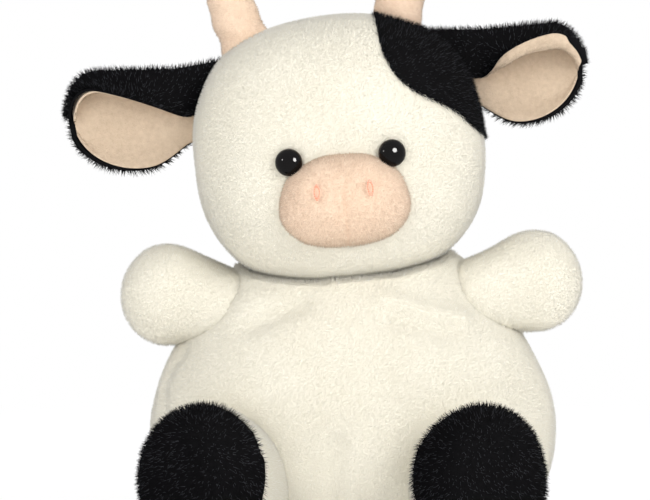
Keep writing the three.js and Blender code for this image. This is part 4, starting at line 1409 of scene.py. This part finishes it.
@dataclass
class Ear:
    """One two-layer ear: black plush folded forward over a peach lining."""

    side: Side
    length: float
    rise: float
    place_deg: float
    flap: float = 24.0
    flap_fade: float = 1.0
    roll: float = 0.0
    tongue: float = 21.0
    fall: float = 27.0
    root_height: float = 36.0
    fold_radius: float = 4.6
    opening: float = 9.0
    curl: float = 5.0
    droop_deg: float = 5.0
    stand_off: float = 6.0
    inset: float = 0.4
    back_wall: float = 1.7
    lining_wall: float = 1.2
    across: int = 44
    around: int = 52

    def section(self, share: float) -> Array:
        """The ear's section, from its lower edge up and over to the flap.

        Args:
            share: Place along the ear's length.

        Returns:
            Samples of height and of forward reach.
        """
        past = max(0.0, share)
        grow = math.sin(math.pi / 2 * min(1.0, past * 2.6))

        def rounding(start: float) -> float:
            """How much of the height is left towards the tip."""
            return math.sqrt(max(0.0, 1 - (max(0.0, share - start) / (1 - start)) ** 2))

        end = rounding(0.66)
        half = self.root_height / 2
        top = (half + (self.rise + 1.6 - half) * past) * end
        low = -(half + (self.fall - half) * grow) * rounding(0.38)
        fold = self.fold_radius * (0.65 + 0.35 * end)
        most = min(self.flap, (top - low) * 0.96)
        gone = math.exp(-self.flap_fade)
        flap = fold + (most - fold) * ((math.exp(-self.flap_fade * past) - gone) / (1 - gone))
        opening = self.opening * grow * end**1.5
        curl = self.curl * grow * end
        bend = fold * (1 - math.sqrt(0.5))
        begun = 0.06 + 0.94 * min(1.0, past / 0.22)
        turn, rise = 1.5 * end * begun, self.roll * (0.35 + 0.65 * past) * end * begun
        if self.roll:
            flap = min(flap + turn + rise, (top - low) * 0.96)
        edge, out = top - flap, 2 * fold + opening
        knots = [
            (low, curl), (low * 0.62, curl * 0.15), ((low + top) * 0.4, 0), (top - fold, 0),
            (top - bend, bend), (top, fold), (top - bend, 2 * fold - bend),
            (top - (flap + fold) / 2, 2 * fold + opening / 2), (edge, out),
        ]
        if self.roll:
            rolled = ((edge + turn, out), (edge, out + turn), (edge + turn, out + 2 * turn))
            knots[-1:] = [*rolled, (edge + turn + rise, out + 1.6 * turn)]
        return smooth_curve(knots, 10)

    def frame(self, head: HeadForm) -> tuple[Array, Array]:
        """The ear's pivot and its axes, in the toy's frame.

        Args:
            head: What the ear is sewn to.

        Returns:
            The pivot, and the axes along, up and forward as columns.
        """
        place, droop, sign = math.radians(self.place_deg), math.radians(self.droop_deg), self.side.value
        out = np.array([sign * math.cos(place), 0.0, math.sin(place)])
        along = np.array([math.cos(droop), 0.0, -sign * math.sin(droop)])
        upward = np.array([sign * math.sin(droop), 0.0, math.cos(droop)])
        pivot = out * (head.reach(out) + self.stand_off)
        return head.to_toy(pivot), head.tilt @ np.stack([along, upward, -BACKWARD], axis=1)

    def face(
        self, name: str, head: HeadForm, depth: float, margin: float = 0.012, last: float = 0.975
    ) -> Piece:
        """Makes the outer face of one layer of the ear.

        Args:
            name: The piece's name.
            head: What the ear is sewn to.
            depth: How far under the ear's outer face it lies.
            margin: Share of the width that its edges are drawn in by.
            last: Share of the length that it ends at.

        Returns:
            The open face, its normals outwards.
        """
        grid = bpy.ops.mesh.primitive_grid_add
        piece = add(name, grid, x_subdivisions=self.across, y_subdivisions=self.around, size=2)
        flat = points_of(piece) * MM
        first = -self.tongue / self.length
        placed = np.empty_like(flat)
        shares = np.round((flat[:, 0] + 1) / 2, 6)
        for share in np.unique(shares):
            rows = shares == share
            at = first + (last - first) * (1 - (1 - share) ** 1.8)
            curve = self.section(max(at, 0) / (last / 0.985) if at > 0 else at)
            gaps = np.concatenate([[0], np.cumsum(np.linalg.norm(np.diff(curve, axis=0), axis=1))])
            step = margin + (1 - 2 * margin) * (flat[rows, 1] + 1) / 2
            wanted = step * gaps[-1]
            spot, ahead, behind = (
                np.stack([np.interp(wanted + shift, gaps, curve[:, k]) for k in range(2)], axis=1)
                for shift in (0, 0.4, -0.4)
            )
            tangent = unit(ahead - behind)
            spot = spot + np.stack([-tangent[:, 1], tangent[:, 0]], axis=1) * depth
            bow = 1.2 * math.sin(math.pi * min(1, max(0, at))) * np.sin(math.pi * step)
            placed[rows, 0] = self.side.value * at * self.length
            placed[rows, 1] = spot[:, 0]
            placed[rows, 2] = spot[:, 1] - self.fold_radius - bow
        pivot, axes = self.frame(head)
        set_points(piece, pivot + placed @ axes.T)
        if self.side is Side.LEFT:
            piece.data.flip_normals()
        return piece

    def layer(self, piece: Piece, wall: float) -> None:
        """Args:
            piece: The open face.
            wall: The sheet's thickness.
        """
        grid = points_of(piece).reshape(self.around + 1, -1, 3)
        finish_modifier(piece, "SOLIDIFY", thickness=wall * MM, offset=-1.0, use_even_offset=False)
        face_outward(piece)
        finish_modifier(piece, "SUBSURF", levels=1, render_levels=1)
        smooth(piece)

    def build(self, head: HeadForm) -> None:
        """Makes both layers, the black pile with its fringe, and the lining's nap.

        Args:
            head: What the ear is sewn to.
        """
        word, sign = self.side.word, self.side.value
        under = self.inset + self.back_wall + 0.1
        back = self.face(f"ear_plush_{word}", head, self.inset)
        self.layer(back, self.back_wall)
        lining = self.face(f"ear_lining_plush_{word}", head, under, 0.016, 0.925)
        self.layer(lining, self.lining_wall)
        outer = self.face("ear_face", head, self.inset)
        inner = self.face("lining_face", head, under + self.lining_wall - 0.2, 0.02, 0.915)
        inner.data.flip_normals()
        wear(back, BLACK_BACKING)
        wear(lining, LINING_NAP)
        number_on(lining, "seam", np.zeros(len(lining.data.vertices)))
        border = points_of(outer).reshape(self.around + 1, -1, 3)
        border = np.concatenate([border[0], border[-1], border[:, -1]])

        def at_border(roots: Array, normals: Array) -> Array:
            """Finds the roots along the ear's free edge."""
            away = np.linalg.norm(roots[:, None] - border[None, ::2], axis=2).min(axis=1)
            return (away < 2.0) & (head.depth(roots) > -2)

        strands = Pile(2.5, SPACING * 1.08, comb=Comb.OUTWARD, seed=91 + sign).grow(
            f"ear_pile_{word}", outer, BLACK_PILE, lambda r, n: head.depth(r) > -7
        )
        fringe = Pile(2.9, 0.4, 0.4, 2.0, 0.35, comb=Comb.OUTWARD, seed=95 + sign).grow(
            f"ear_fringe_{word}", outer, BLACK_PILE, at_border
        )
        nap = Pile(0.9, 0.56, 0.32, 0.9, 0.4, comb=Comb.OUTWARD, seed=99 + sign).grow(
            f"lining_nap_{word}", inner, LINING_PILE, lambda r, n: head.depth(r) > -2
        )
        for face in (outer, inner):
            bpy.data.objects.remove(face)
        pivot, axes = self.frame(head)
        seam = Seam(f"ear_{word}", pivot - axes[:, 0] * sign * 7, pivot + axes[:, 0] * sign * 5)
        sew((back, strands, fringe), "head", (f"ear_back_{word}",), seam=seam)
        sew((lining, nap), "head", (f"ear_lining_{word}",), seam=seam)
        LOG.info("ear %s: %d strands", word, len(strands.data.polygons) // 4)


@dataclass
class Head:
    """The head: white plush with a black patch, muzzle, eyes, horns and ears."""

    form: HeadForm = field(default_factory=HeadForm)
    ears: tuple[Ear, Ear] = field(
        default_factory=lambda: (
            Ear(Side.LEFT, 48.0, 21.0, 24.0, flap=23.0, flap_fade=3.6, roll=4.0, tongue=23.0),
            Ear(Side.RIGHT, 54.0, 25.0, 20.0),
        )
    )
    swells: tuple[tuple[Triple, Triple, float], ...] = (
        ((22.9, -54, -4), (8.5, 12, 8.5), -2.0), ((-22.9, -54, -4), (8.5, 12, 8.5), -2.0),
        ((0, -58, 0), (10, 12, 8), -1.0), ((44, -38, -26), (18, 16, 18), 1.6),
        ((-44, -38, -26), (18, 16, 18), 1.6), ((0, -50, 34), (30, 20, 18), 1.0),
        ((-14, -8, 62), (34, 40, 20), -1.0),
    )
    patch_front: tuple[tuple[float, float], ...] = (
        (0.33, 0.97), (0.33, 0.78), (0.36, 0.61), (0.42, 0.48),
        (0.53, 0.37), (0.67, 0.28), (0.81, 0.19), (0.93, 0.06),
    )
    patch_back: tuple[tuple[float, float], ...] = (
        (0.97, 0), (0.88, 0.2), (0.7, 0.46), (0.52, 0.7), (0.4, 0.9),
    )
    muzzle_half: Triple = (29.5, 24.0, 21.5)
    muzzle_sunk: float = 8.0
    muzzle_drop: float = 22.5
    muzzle_taper: float = 0.07
    muzzle_squareness: float = 2.3
    muzzle_inset: float = 0.7
    nostril_place: tuple[float, float] = (11.6, 4.5)
    eye_place: tuple[float, float] = (22.9, -4.0)
    eye_radius: float = 6.1
    eye_dome: float = 4.4
    shank_radius: float = 1.9
    horn_radius: float = 11.6
    horn_height: float = 37.0
    horn_taper: float = 0.12
    horn_places: tuple[float, float] = (29.0, 35.5)
    horn_lean: float = 8.0
    horn_bow: float = 2.5

    def patch_mask(self, points: Array) -> Array:
        """Finds which points lie in the black patch.

        Args:
            points: Places in the toy's frame.

        Returns:
            True in the patch.
        """
        loop = []
        for shares, face in ((self.patch_front, 1), (self.patch_back, -1)):
            for across, rise in shares:
                point, _ = self.form.front(across * self.form.half[0], rise * self.form.half[2])
                loop.append(point * (1, face, 1))
        edge = smooth_curve(loop, 10, closed=True)
        middle = unit(np.mean(loop, axis=0))
        side = unit(np.cross(middle, BACKWARD))
        over = np.cross(middle, side)
        flat = np.stack([edge @ side, edge @ over], axis=1) / (edge @ middle)[:, None]
        local = self.form.to_head(points)
        ahead = local @ middle
        spot = np.stack([local @ side, local @ over], axis=1) / np.maximum(ahead, 1e-3)[:, None]
        inside = np.zeros(len(points), bool)
        for (x0, y0), (x1, y1) in zip(flat, np.roll(flat, -1, axis=0)):
            crossing = (y0 > spot[:, 1]) != (y1 > spot[:, 1])
            with np.errstate(divide="ignore", invalid="ignore"):
                where = x0 + (spot[:, 1] - y0) * (x1 - x0) / (y1 - y0)
            inside ^= crossing & (spot[:, 0] < where)
        return inside & (ahead > 5)

    @property
    def muzzle_centre(self) -> Array:
        """The muzzle's middle, in the head's frame."""
        point, _ = self.form.front(0.0, -self.muzzle_drop)
        return np.array([0.0, point[1] + self.muzzle_sunk, -self.muzzle_drop])

    def muzzle_depth(self, points: Array, inset: float = 0.0) -> Array:
        """Distance outside the muzzle's form.

        Args:
            points: Places in the toy's frame.
            inset: How far inside its surface to count from.

        Returns:
            Positive numbers outside.
        """
        local = self.form.to_head(points) - self.muzzle_centre
        half = np.array(self.muzzle_half) - inset
        narrow = 1 - self.muzzle_taper * np.clip(local[:, 2] / self.muzzle_half[2], -1.2, 1.2)
        power = self.muzzle_squareness
        level = np.abs(local[:, 0] / (half[0] * narrow)) ** power + np.abs(local[:, 1] / half[1]) ** power
        level = np.maximum(level + np.abs(local[:, 2] / half[2]) ** power, 1e-9) ** (1 / power)
        return np.linalg.norm(local, axis=1) * (1 - 1 / level)

    def build(self) -> None:
        """Makes the head with all that is on it."""
        form = self.form
        skin = ball_skin("head_plush", np.array(form.centre), 90.0, lambda p: form.depth(p) + FABRIC_INSET, 6)
        stuffed(skin, lambda p: np.where(np.abs(p[:, 1] - 6) < 3, -1.0, 1.0), 1.8)
        press(skin, [Bulge(form.to_toy(centre), size, rise) for centre, size, rise in self.swells], 0.5)
        wear(skin, WHITE_BACKING)
        self._patch(skin)
        piles = [
            Pile.white(seed).grow(f"head_pile_{name}", skin, WHITE_PILE, functools.partial(self._white, half))
            for name, seed, half in (("front", 21, -1), ("back", 22, 1))
        ]
        strands = Pile(2.6, SPACING * 1.05, seed=23).grow("patch_pile", skin, BLACK_PILE, self._black)
        edge = Pile(3.1, 0.5, 0.4, 0.9, 0.4, seed=24)
        tufts = edge.grow("patch_edge_pile", skin, BLACK_PILE, self._at_patch_edge)
        sew((skin, *piles), "head", ("head_skin", "head_stuffing"))
        sew((strands, tufts), "head")
        LOG.info("head: %d strands", sum(len(pile.data.polygons) for pile in (*piles, strands)) // 4)
        self._muzzle()
        for side in Side:
            self._eye(side)
            self._horn(side)
            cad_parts[f"eye_washer_{side.word}"].material_slots[0].material = look(WASHER_PLASTIC)
        for ear in self.ears:
            ear.build(form)

    def _clear(self, roots: Array) -> Array:
        """Leaves out what the muzzle, the eyes, the horns and the neck hide.

        Args:
            roots: Places on the head's skin.

        Returns:
            True where a strand may grow.
        """
        shown = (self.muzzle_depth(roots) > -1.5) | (roots[:, 1] > -30)
        for side in Side:
            eye = self.form.to_toy(self._eye_spot(side)[0])
            shown &= np.linalg.norm(roots - eye, axis=1) > self.eye_radius - 0.2
            base, axis, _ = self._horn_line(side)
            along = (roots - base) @ axis
            off = np.linalg.norm(roots - base - along[:, None] * axis, axis=1)
            shown &= (off >= self.horn_radius - 2) | (along <= -20)
        under = (roots[:, 2] < self.form.centre[2] - 50) & (np.hypot(roots[:, 0] - NECK_X, roots[:, 1]) < 26)
        return shown & ~under

    def _white(self, half: int, roots: Array, normals: Array) -> Array:
        """Finds white roots on the front half of the head, -1, or the back, 1."""
        return self._clear(roots) & (half * (roots[:, 1] - 4) >= 0) & ~self.patch_mask(roots)

    def _black(self, roots: Array, normals: Array) -> Array:
        """Finds the roots in the patch."""
        return self._clear(roots) & self.patch_mask(roots)

    def _at_patch_edge(self, roots: Array, normals: Array) -> Array:
        """Finds the roots in the patch whose strands fall over its edge.

        Args:
            roots: Where strands could start.
            normals: The skin's directions there.

        Returns:
            True where one grows.
        """
        near = np.flatnonzero(self.patch_mask(roots) & (roots[:, 1] < 0))
        edge = np.zeros(len(roots), bool)
        for away in ((0, 0, -1.8), (-1.8, 0, 0), (-1.3, 0, -1.3)):
            edge[near] |= ~self.patch_mask(roots[near] + away)
        return edge

    def _patch(self, skin: Piece) -> None:
        """Makes the black panel that lies on the head.

        Args:
            skin: The head's skin.
        """
        act_on(skin)
        bpy.ops.object.duplicate()
        panel = bpy.context.object
        panel.name = panel.data.name = "patch_plush"
        inside = self.patch_mask(points_of(panel))
        bpy.ops.object.mode_set(mode="EDIT")
        bpy.ops.mesh.select_all(action="DESELECT")
        bpy.ops.object.mode_set(mode="OBJECT")
        panel.data.vertices.foreach_set("select", ~inside)
        bpy.ops.object.mode_set(mode="EDIT")
        bpy.ops.mesh.delete(type="VERT")
        bpy.ops.object.mode_set(mode="OBJECT")
        raise_skin(panel, 0.45)
        finish_modifier(panel, "SOLIDIFY", thickness=1.2 * MM, offset=-1.0)
        smooth(panel)
        wear(panel, BLACK_BACKING)
        sew((panel,), "head", ("head_patch",))

    def _muzzle(self) -> None:
        """Makes the sewn muzzle with its seam, nap and nostrils."""
        centre = self.form.to_toy(self.muzzle_centre)
        skin = ball_skin("muzzle_plush", centre, 45.0, lambda p: self.muzzle_depth(p, self.muzzle_inset), 6)
        local = self.form.to_head(points_of(skin)) - self.muzzle_centre
        across, rise = local[:, 0], local[:, 2]
        front = np.clip(-local[:, 1] / 8, 0, 1)
        seam = np.exp(-(across**2)) * front * np.clip((8 - rise) / 4, 0, 1)
        wide = np.exp(-((across / 4.0) ** 2)) * front * np.clip((10 - rise) / 8, 0, 1)
        lift = -0.15 * seam - 0.4 * wide
        for sign in (1, -1):
            spot = np.array([sign * self.nostril_place[0], self.nostril_place[1]])
            away = ((local[:, [0, 2]] - spot) / np.array([4.0, 6.0])) ** 2
            lift -= 0.9 * np.exp(-away.sum(axis=1)) * front
        lift += 0.35 * np.sin(across * 0.33 + 1) * np.sin(rise * 0.3) * front
        raise_skin(skin, lift)
        wear(skin, PEACH_NAP)
        number_on(skin, "seam", np.clip(seam * 0.25, 0, 1))
        nap = Pile(0.95, 0.58, 0.34, seed=41).grow("muzzle_nap", skin, PEACH_PILE, self._napped)
        sew((skin, nap), "head", ("muzzle_skin", "muzzle_stuffing"))
        for side in Side:
            self._nostril(side)

    def _napped(self, roots: Array, normals: Array) -> Array:
        """Leaves out the seam, the nostrils and what the head hides.

        Args:
            roots: Where strands could start.
            normals: The skin's directions there.

        Returns:
            True where one grows.
        """
        local = self.form.to_head(roots) - self.muzzle_centre
        off_seam = (np.abs(local[:, 0]) > 0.35) | (local[:, 2] > 12)
        across, rise = self.nostril_place
        stitched = ((np.abs(local[:, 0]) - across) / 2.0) ** 2 + ((local[:, 2] - rise) / 3.9) ** 2 < 1
        return (self.form.depth(roots) > -1.5) & off_seam & ~(stitched & (local[:, 1] < 0))

    def _nostril(self, side: Side) -> None:
        """Embroiders one nostril as an upright oval of satin thread.

        Args:
            side: Which side it is on.
        """
        across, rise = self.nostril_place
        half, power = np.array(self.muzzle_half), self.muzzle_squareness
        rest = 1 - abs(across / half[0]) ** power - abs(rise / half[2]) ** power
        local = np.array([side.value * across, -half[1] * rest ** (1 / power), rise])
        slope = np.sign(local) * np.abs(local / half) ** (power - 1) / half
        normal = self.form.tilt @ unit(slope)
        place = self.form.to_toy(local + self.muzzle_centre)
        sizes = {"major_segments": 40, "minor_segments": 10, "major_radius": 1, "minor_radius": 0.27}
        loop = add(f"nostril_stitch_{side.word}", bpy.ops.mesh.primitive_torus_add, **sizes)
        round_it = points_of(loop) * MM
        ribs = 1 + 0.05 * np.sin(np.arctan2(round_it[:, 1], round_it[:, 0]) * 16)
        up = self.form.tilt @ UPWARD
        up = unit(up - normal * (up @ normal))
        flat = round_it[:, :1] * 1.15 * ribs[:, None] * np.cross(up, normal) + round_it[:, 1:2] * 2.9 * up
        set_points(loop, place + normal * 0.2 + flat + round_it[:, 2:] * 1.5 * normal)
        face_outward(loop)
        smooth(loop)
        wear(loop, NOSTRIL_THREAD)
        sew((loop,), "head", (f"nostril_{side.word}",))

    def _eye_spot(self, side: Side) -> tuple[Array, Array]:
        """Where an eye sits and the way that it looks, in the head's frame."""
        return self.form.front(side.value * self.eye_place[0], self.eye_place[1])

    def _eye(self, side: Side) -> None:
        """Turns one safety eye: a dome, its rim and its ribbed shank.

        Args:
            side: Which side it is on.
        """
        point, normal = self._eye_spot(side)
        normal = self.form.tilt @ normal
        base = self.form.to_toy(point) - normal * 0.6
        angles = np.linspace(0, math.pi / 2, 18)
        profile = [(self.eye_radius * math.sin(a), self.eye_dome * math.cos(a) ** 0.9) for a in angles]
        profile += [(self.eye_radius, -0.3), (self.eye_radius * 0.7, -0.55), (self.shank_radius, -0.6)]
        for level in (-1.4, -3.93, -6.46):
            profile += [(self.shank_radius, level), (self.shank_radius - 0.4, level - 1.27)]
        profile += [(self.shank_radius, -9.0), (0.0, -9.4)]
        rings = np.array(profile)
        rows = len(rings) - 1
        side_way = unit(np.cross(normal, UPWARD))

        def place(turn: Array, rise: Array) -> Array:
            """Turns the profile about the eye's axis, from shank to dome."""
            radius, level = rings[np.round((1 - rise) * rows).astype(int)].T[:, :, None]
            return base + ring(turn, side_way, np.cross(normal, side_way)) * radius + normal * level

        eye = wrapped(f"eye_dome_{side.word}", 48, rows, place)
        # The rim number sets where the painted brown reflection shows, near the dome's edge
        number_on(eye, "rim", np.clip(1 - (points_of(eye) - base) @ normal / 1.6, 0, 1))
        wear(eye, EYE_GLOSS)
        sew((eye,), "head", (f"eye_{side.word}",))

    def _horn_line(self, side: Side) -> tuple[Array, Array, Array]:
        """Finds where one horn stands.

        Args:
            side: Which side it is on.

        Returns:
            Its foot, its axis and the way that it bows, in the toy's frame.
        """
        place = math.radians(self.horn_places[side is Side.RIGHT]) * side.value
        lean = math.radians(self.horn_lean) * side.value
        out = np.array([math.sin(place), 0.0, math.cos(place)])
        axis = self.form.tilt @ np.array([math.sin(lean), 0.0, math.cos(lean)])
        bow = self.form.tilt @ np.array([side.value * math.cos(lean), 0.0, -math.sin(lean)])
        return self.form.to_toy(out * self.form.reach(out)), axis, bow

    def _horn(self, side: Side) -> None:
        """Makes one stuffed horn.

        Args:
            side: Which side it is on.
        """
        base, axis, bow = self._horn_line(side)
        foot, height = -self.horn_radius, self.horn_height - 0.6
        across = unit(np.cross(BACKWARD, axis))

        def place(turn: Array, rise: Array) -> Array:
            """Places rings from the foot to the rounded tip.

            Args:
                turn: Shares of the turn.
                rise: Shares of the way up.

            Returns:
                Places in millimetres.
            """
            along = foot + (height - foot) * np.sin(rise * math.pi / 2)
            share = np.clip(along / height, 0, 1)
            round_off = np.sqrt(np.clip(1 - share**3.4, 0, 1))
            radius = (self.horn_radius - 0.6) * (1 - self.horn_taper * share) * round_off * (rise > 0)
            crumple = 0.35 * np.sin(along * 0.5 + 2 * np.cos(turn * 2 * math.pi)) * (share < 0.6)
            shift = bow * (self.horn_bow * np.sin(math.pi * share))[:, None]
            rings = ring(turn, across, np.cross(axis, across)) * (radius + crumple * (radius > 0))[:, None]
            return base + axis * along[:, None] + shift + rings

        horn = wrapped(f"horn_plush_{side.word}", 64, 56, place)
        away = points_of(horn) - base
        behind = ((away @ BACKWARD) > 0) & (np.abs(away @ across) < 0.8)
        wear(horn, PEACH_NAP)
        number_on(horn, "seam", np.where(behind, 0.6, 0.0))
        nap = Pile(0.9, 0.66, 0.34, seed=61 + side.value).grow(
            f"horn_nap_{side.word}", horn, PEACH_PILE, lambda r, n: self.form.depth(r) > -1.5
        )
        nodes = (f"horn_{side.word}", f"horn_stuffing_{side.word}")
        sew((horn, nap), "head", nodes)


@dataclass
class Studio:
    """The floor, the lamps, the white surroundings and the camera."""

    distance: float = 1300.0
    elevation: float = 2.5
    millimetres_a_pixel: float = 0.46
    aim: Triple = (-12.9, 0.0, 133.0)
    image_width: int = 650
    sensor: float = 36.0
    shadow_reach: float = 0.4
    floor_glow: float = 0.72
    lamps: tuple[tuple[str, Triple, float, float, bool], ...] = (
        ("key", (0.9, -1.3, 0.8), 1.1, 10.4, False),
        ("fill", (-0.8, -1.4, 0.2), 1.3, 8.0, False),
        ("top", (0.1, 0.6, 1.5), 1.0, 3.5, False),
        ("rear", (-0.4, 1.6, 0.8), 1.3, 7.0, False),
        ("glint", (0.45, -0.9, 0.45), 0.42, 30.0, True),
        ("second_glint", (-0.85, -0.75, 0.42), 0.12, 2.0, True),
    )

    def build(self) -> None:
        """Sets everything round the toy."""
        self._floor()
        self._world()
        for lamp in self.lamps:
            self._lamp(*lamp)
        self._camera()
        bpy.context.scene.view_settings.view_transform = "Standard"

    def _floor(self) -> None:
        """Lays the pale floor, which keeps the shadow."""
        floor = add("floor", bpy.ops.mesh.primitive_plane_add, size=6)
        recipe = Recipe(bpy.data.materials.new("floor_white"))
        tone = recipe.blend(recipe.noise(3.0), Colour(250, 250, 250), Colour(252, 252, 252))
        away = recipe.node("ShaderNodeVectorMath", {"operation": "LENGTH"}, {0: recipe.place()}, 1)
        faded = away.above(self.shadow_reach, self.shadow_reach * 0.6)
        glow = faded * (1 - self.floor_glow) + self.floor_glow
        mix = {
            0: recipe.seen_by("Camera", "Glossy") * glow,
            1: recipe.node("ShaderNodeBsdfPrincipled", {}, {"Base Color": tone, "Roughness": 0.9}),
            2: recipe.node("ShaderNodeEmission", {}, {"Strength": 1.0}),
        }
        recipe.node("ShaderNodeOutputMaterial", {}, {0: recipe.node("ShaderNodeMixShader", {}, mix)})
        floor.data.materials.append(recipe.owner)

    def _world(self) -> None:
        """Makes the surroundings white to the camera and soft to the toy."""
        world = bpy.context.scene.world = bpy.data.worlds.new("studio")
        recipe = Recipe(world)
        soft = {"Color": (0.99, 0.985, 1.0, 1), "Strength": 0.81}
        mix = {
            0: recipe.seen_by("Camera", "Glossy", "Transmission"),
            1: recipe.node("ShaderNodeBackground", {}, soft),
            2: recipe.node("ShaderNodeBackground", {}, {"Color": (1, 1, 1, 1), "Strength": 1.0}),
        }
        recipe.node("ShaderNodeOutputWorld", {}, {0: recipe.node("ShaderNodeMixShader", {}, mix)})

    def _lamp(self, name: str, place: Triple, size: float, power: float, mirrored: bool) -> None:
        """Hangs one soft lamp, aimed at the toy.

        Args:
            name: The lamp's name.
            place: Where it hangs, in metres.
            size: Its width.
            power: Its watts.
            mirrored: Whether it only makes highlights on glossy surfaces.
        """
        data = bpy.data.lights.new(name, "AREA")
        data.shape = "DISK"
        data.color = (1.0, 0.985, 0.96)
        data.size, data.energy = size, power
        lamp = self._hang(name, data, place, (0.0, 0.0, 0.12))
        lamp.visible_glossy, lamp.visible_diffuse = mirrored, not mirrored

    def _hang(self, name: str, data: bpy.types.ID, place: Triple, target: Triple) -> Piece:
        """Places a lamp or a camera and points it at a target, both in metres.

        Args:
            name: Its name.
            data: The lamp's or the camera's own settings.
            place: Where it goes.
            target: What it looks at.

        Returns:
            The placed object.
        """
        thing = bpy.data.objects.new(name, data)
        bpy.context.scene.collection.objects.link(thing)
        thing.location = place
        away = thing.location.copy()
        away.x, away.y, away.z = (t - c for t, c in zip(target, thing.location))
        thing.rotation_euler = away.to_track_quat("-Z", "Y").to_euler()
        return thing

    def _camera(self) -> None:
        """Stands the camera where the photograph was taken from."""
        data = bpy.data.cameras.new("camera")
        data.sensor_width = self.sensor
        data.lens = self.sensor * self.distance / (self.image_width * self.millimetres_a_pixel)
        data.clip_end = 50
        rise, aim = math.radians(self.elevation), np.array(self.aim)
        spot = aim + self.distance * np.array([0.0, -math.cos(rise), math.sin(rise)])
        bpy.context.scene.camera = self._hang("camera", data, tuple(spot * MM), tuple(aim * MM))


def main() -> None:
    """Builds the toy part by part and reports each."""
    logging.basicConfig(level=logging.INFO, format="%(message)s")
    head = Head()
    torso = Torso(head.form)
    torso.build()
    head.build()
    for limb in (*torso.arms, *torso.legs):
        limb.build(torso)
    Tail().build()
    Studio().build()


if __name__ == "__main__":
    main()
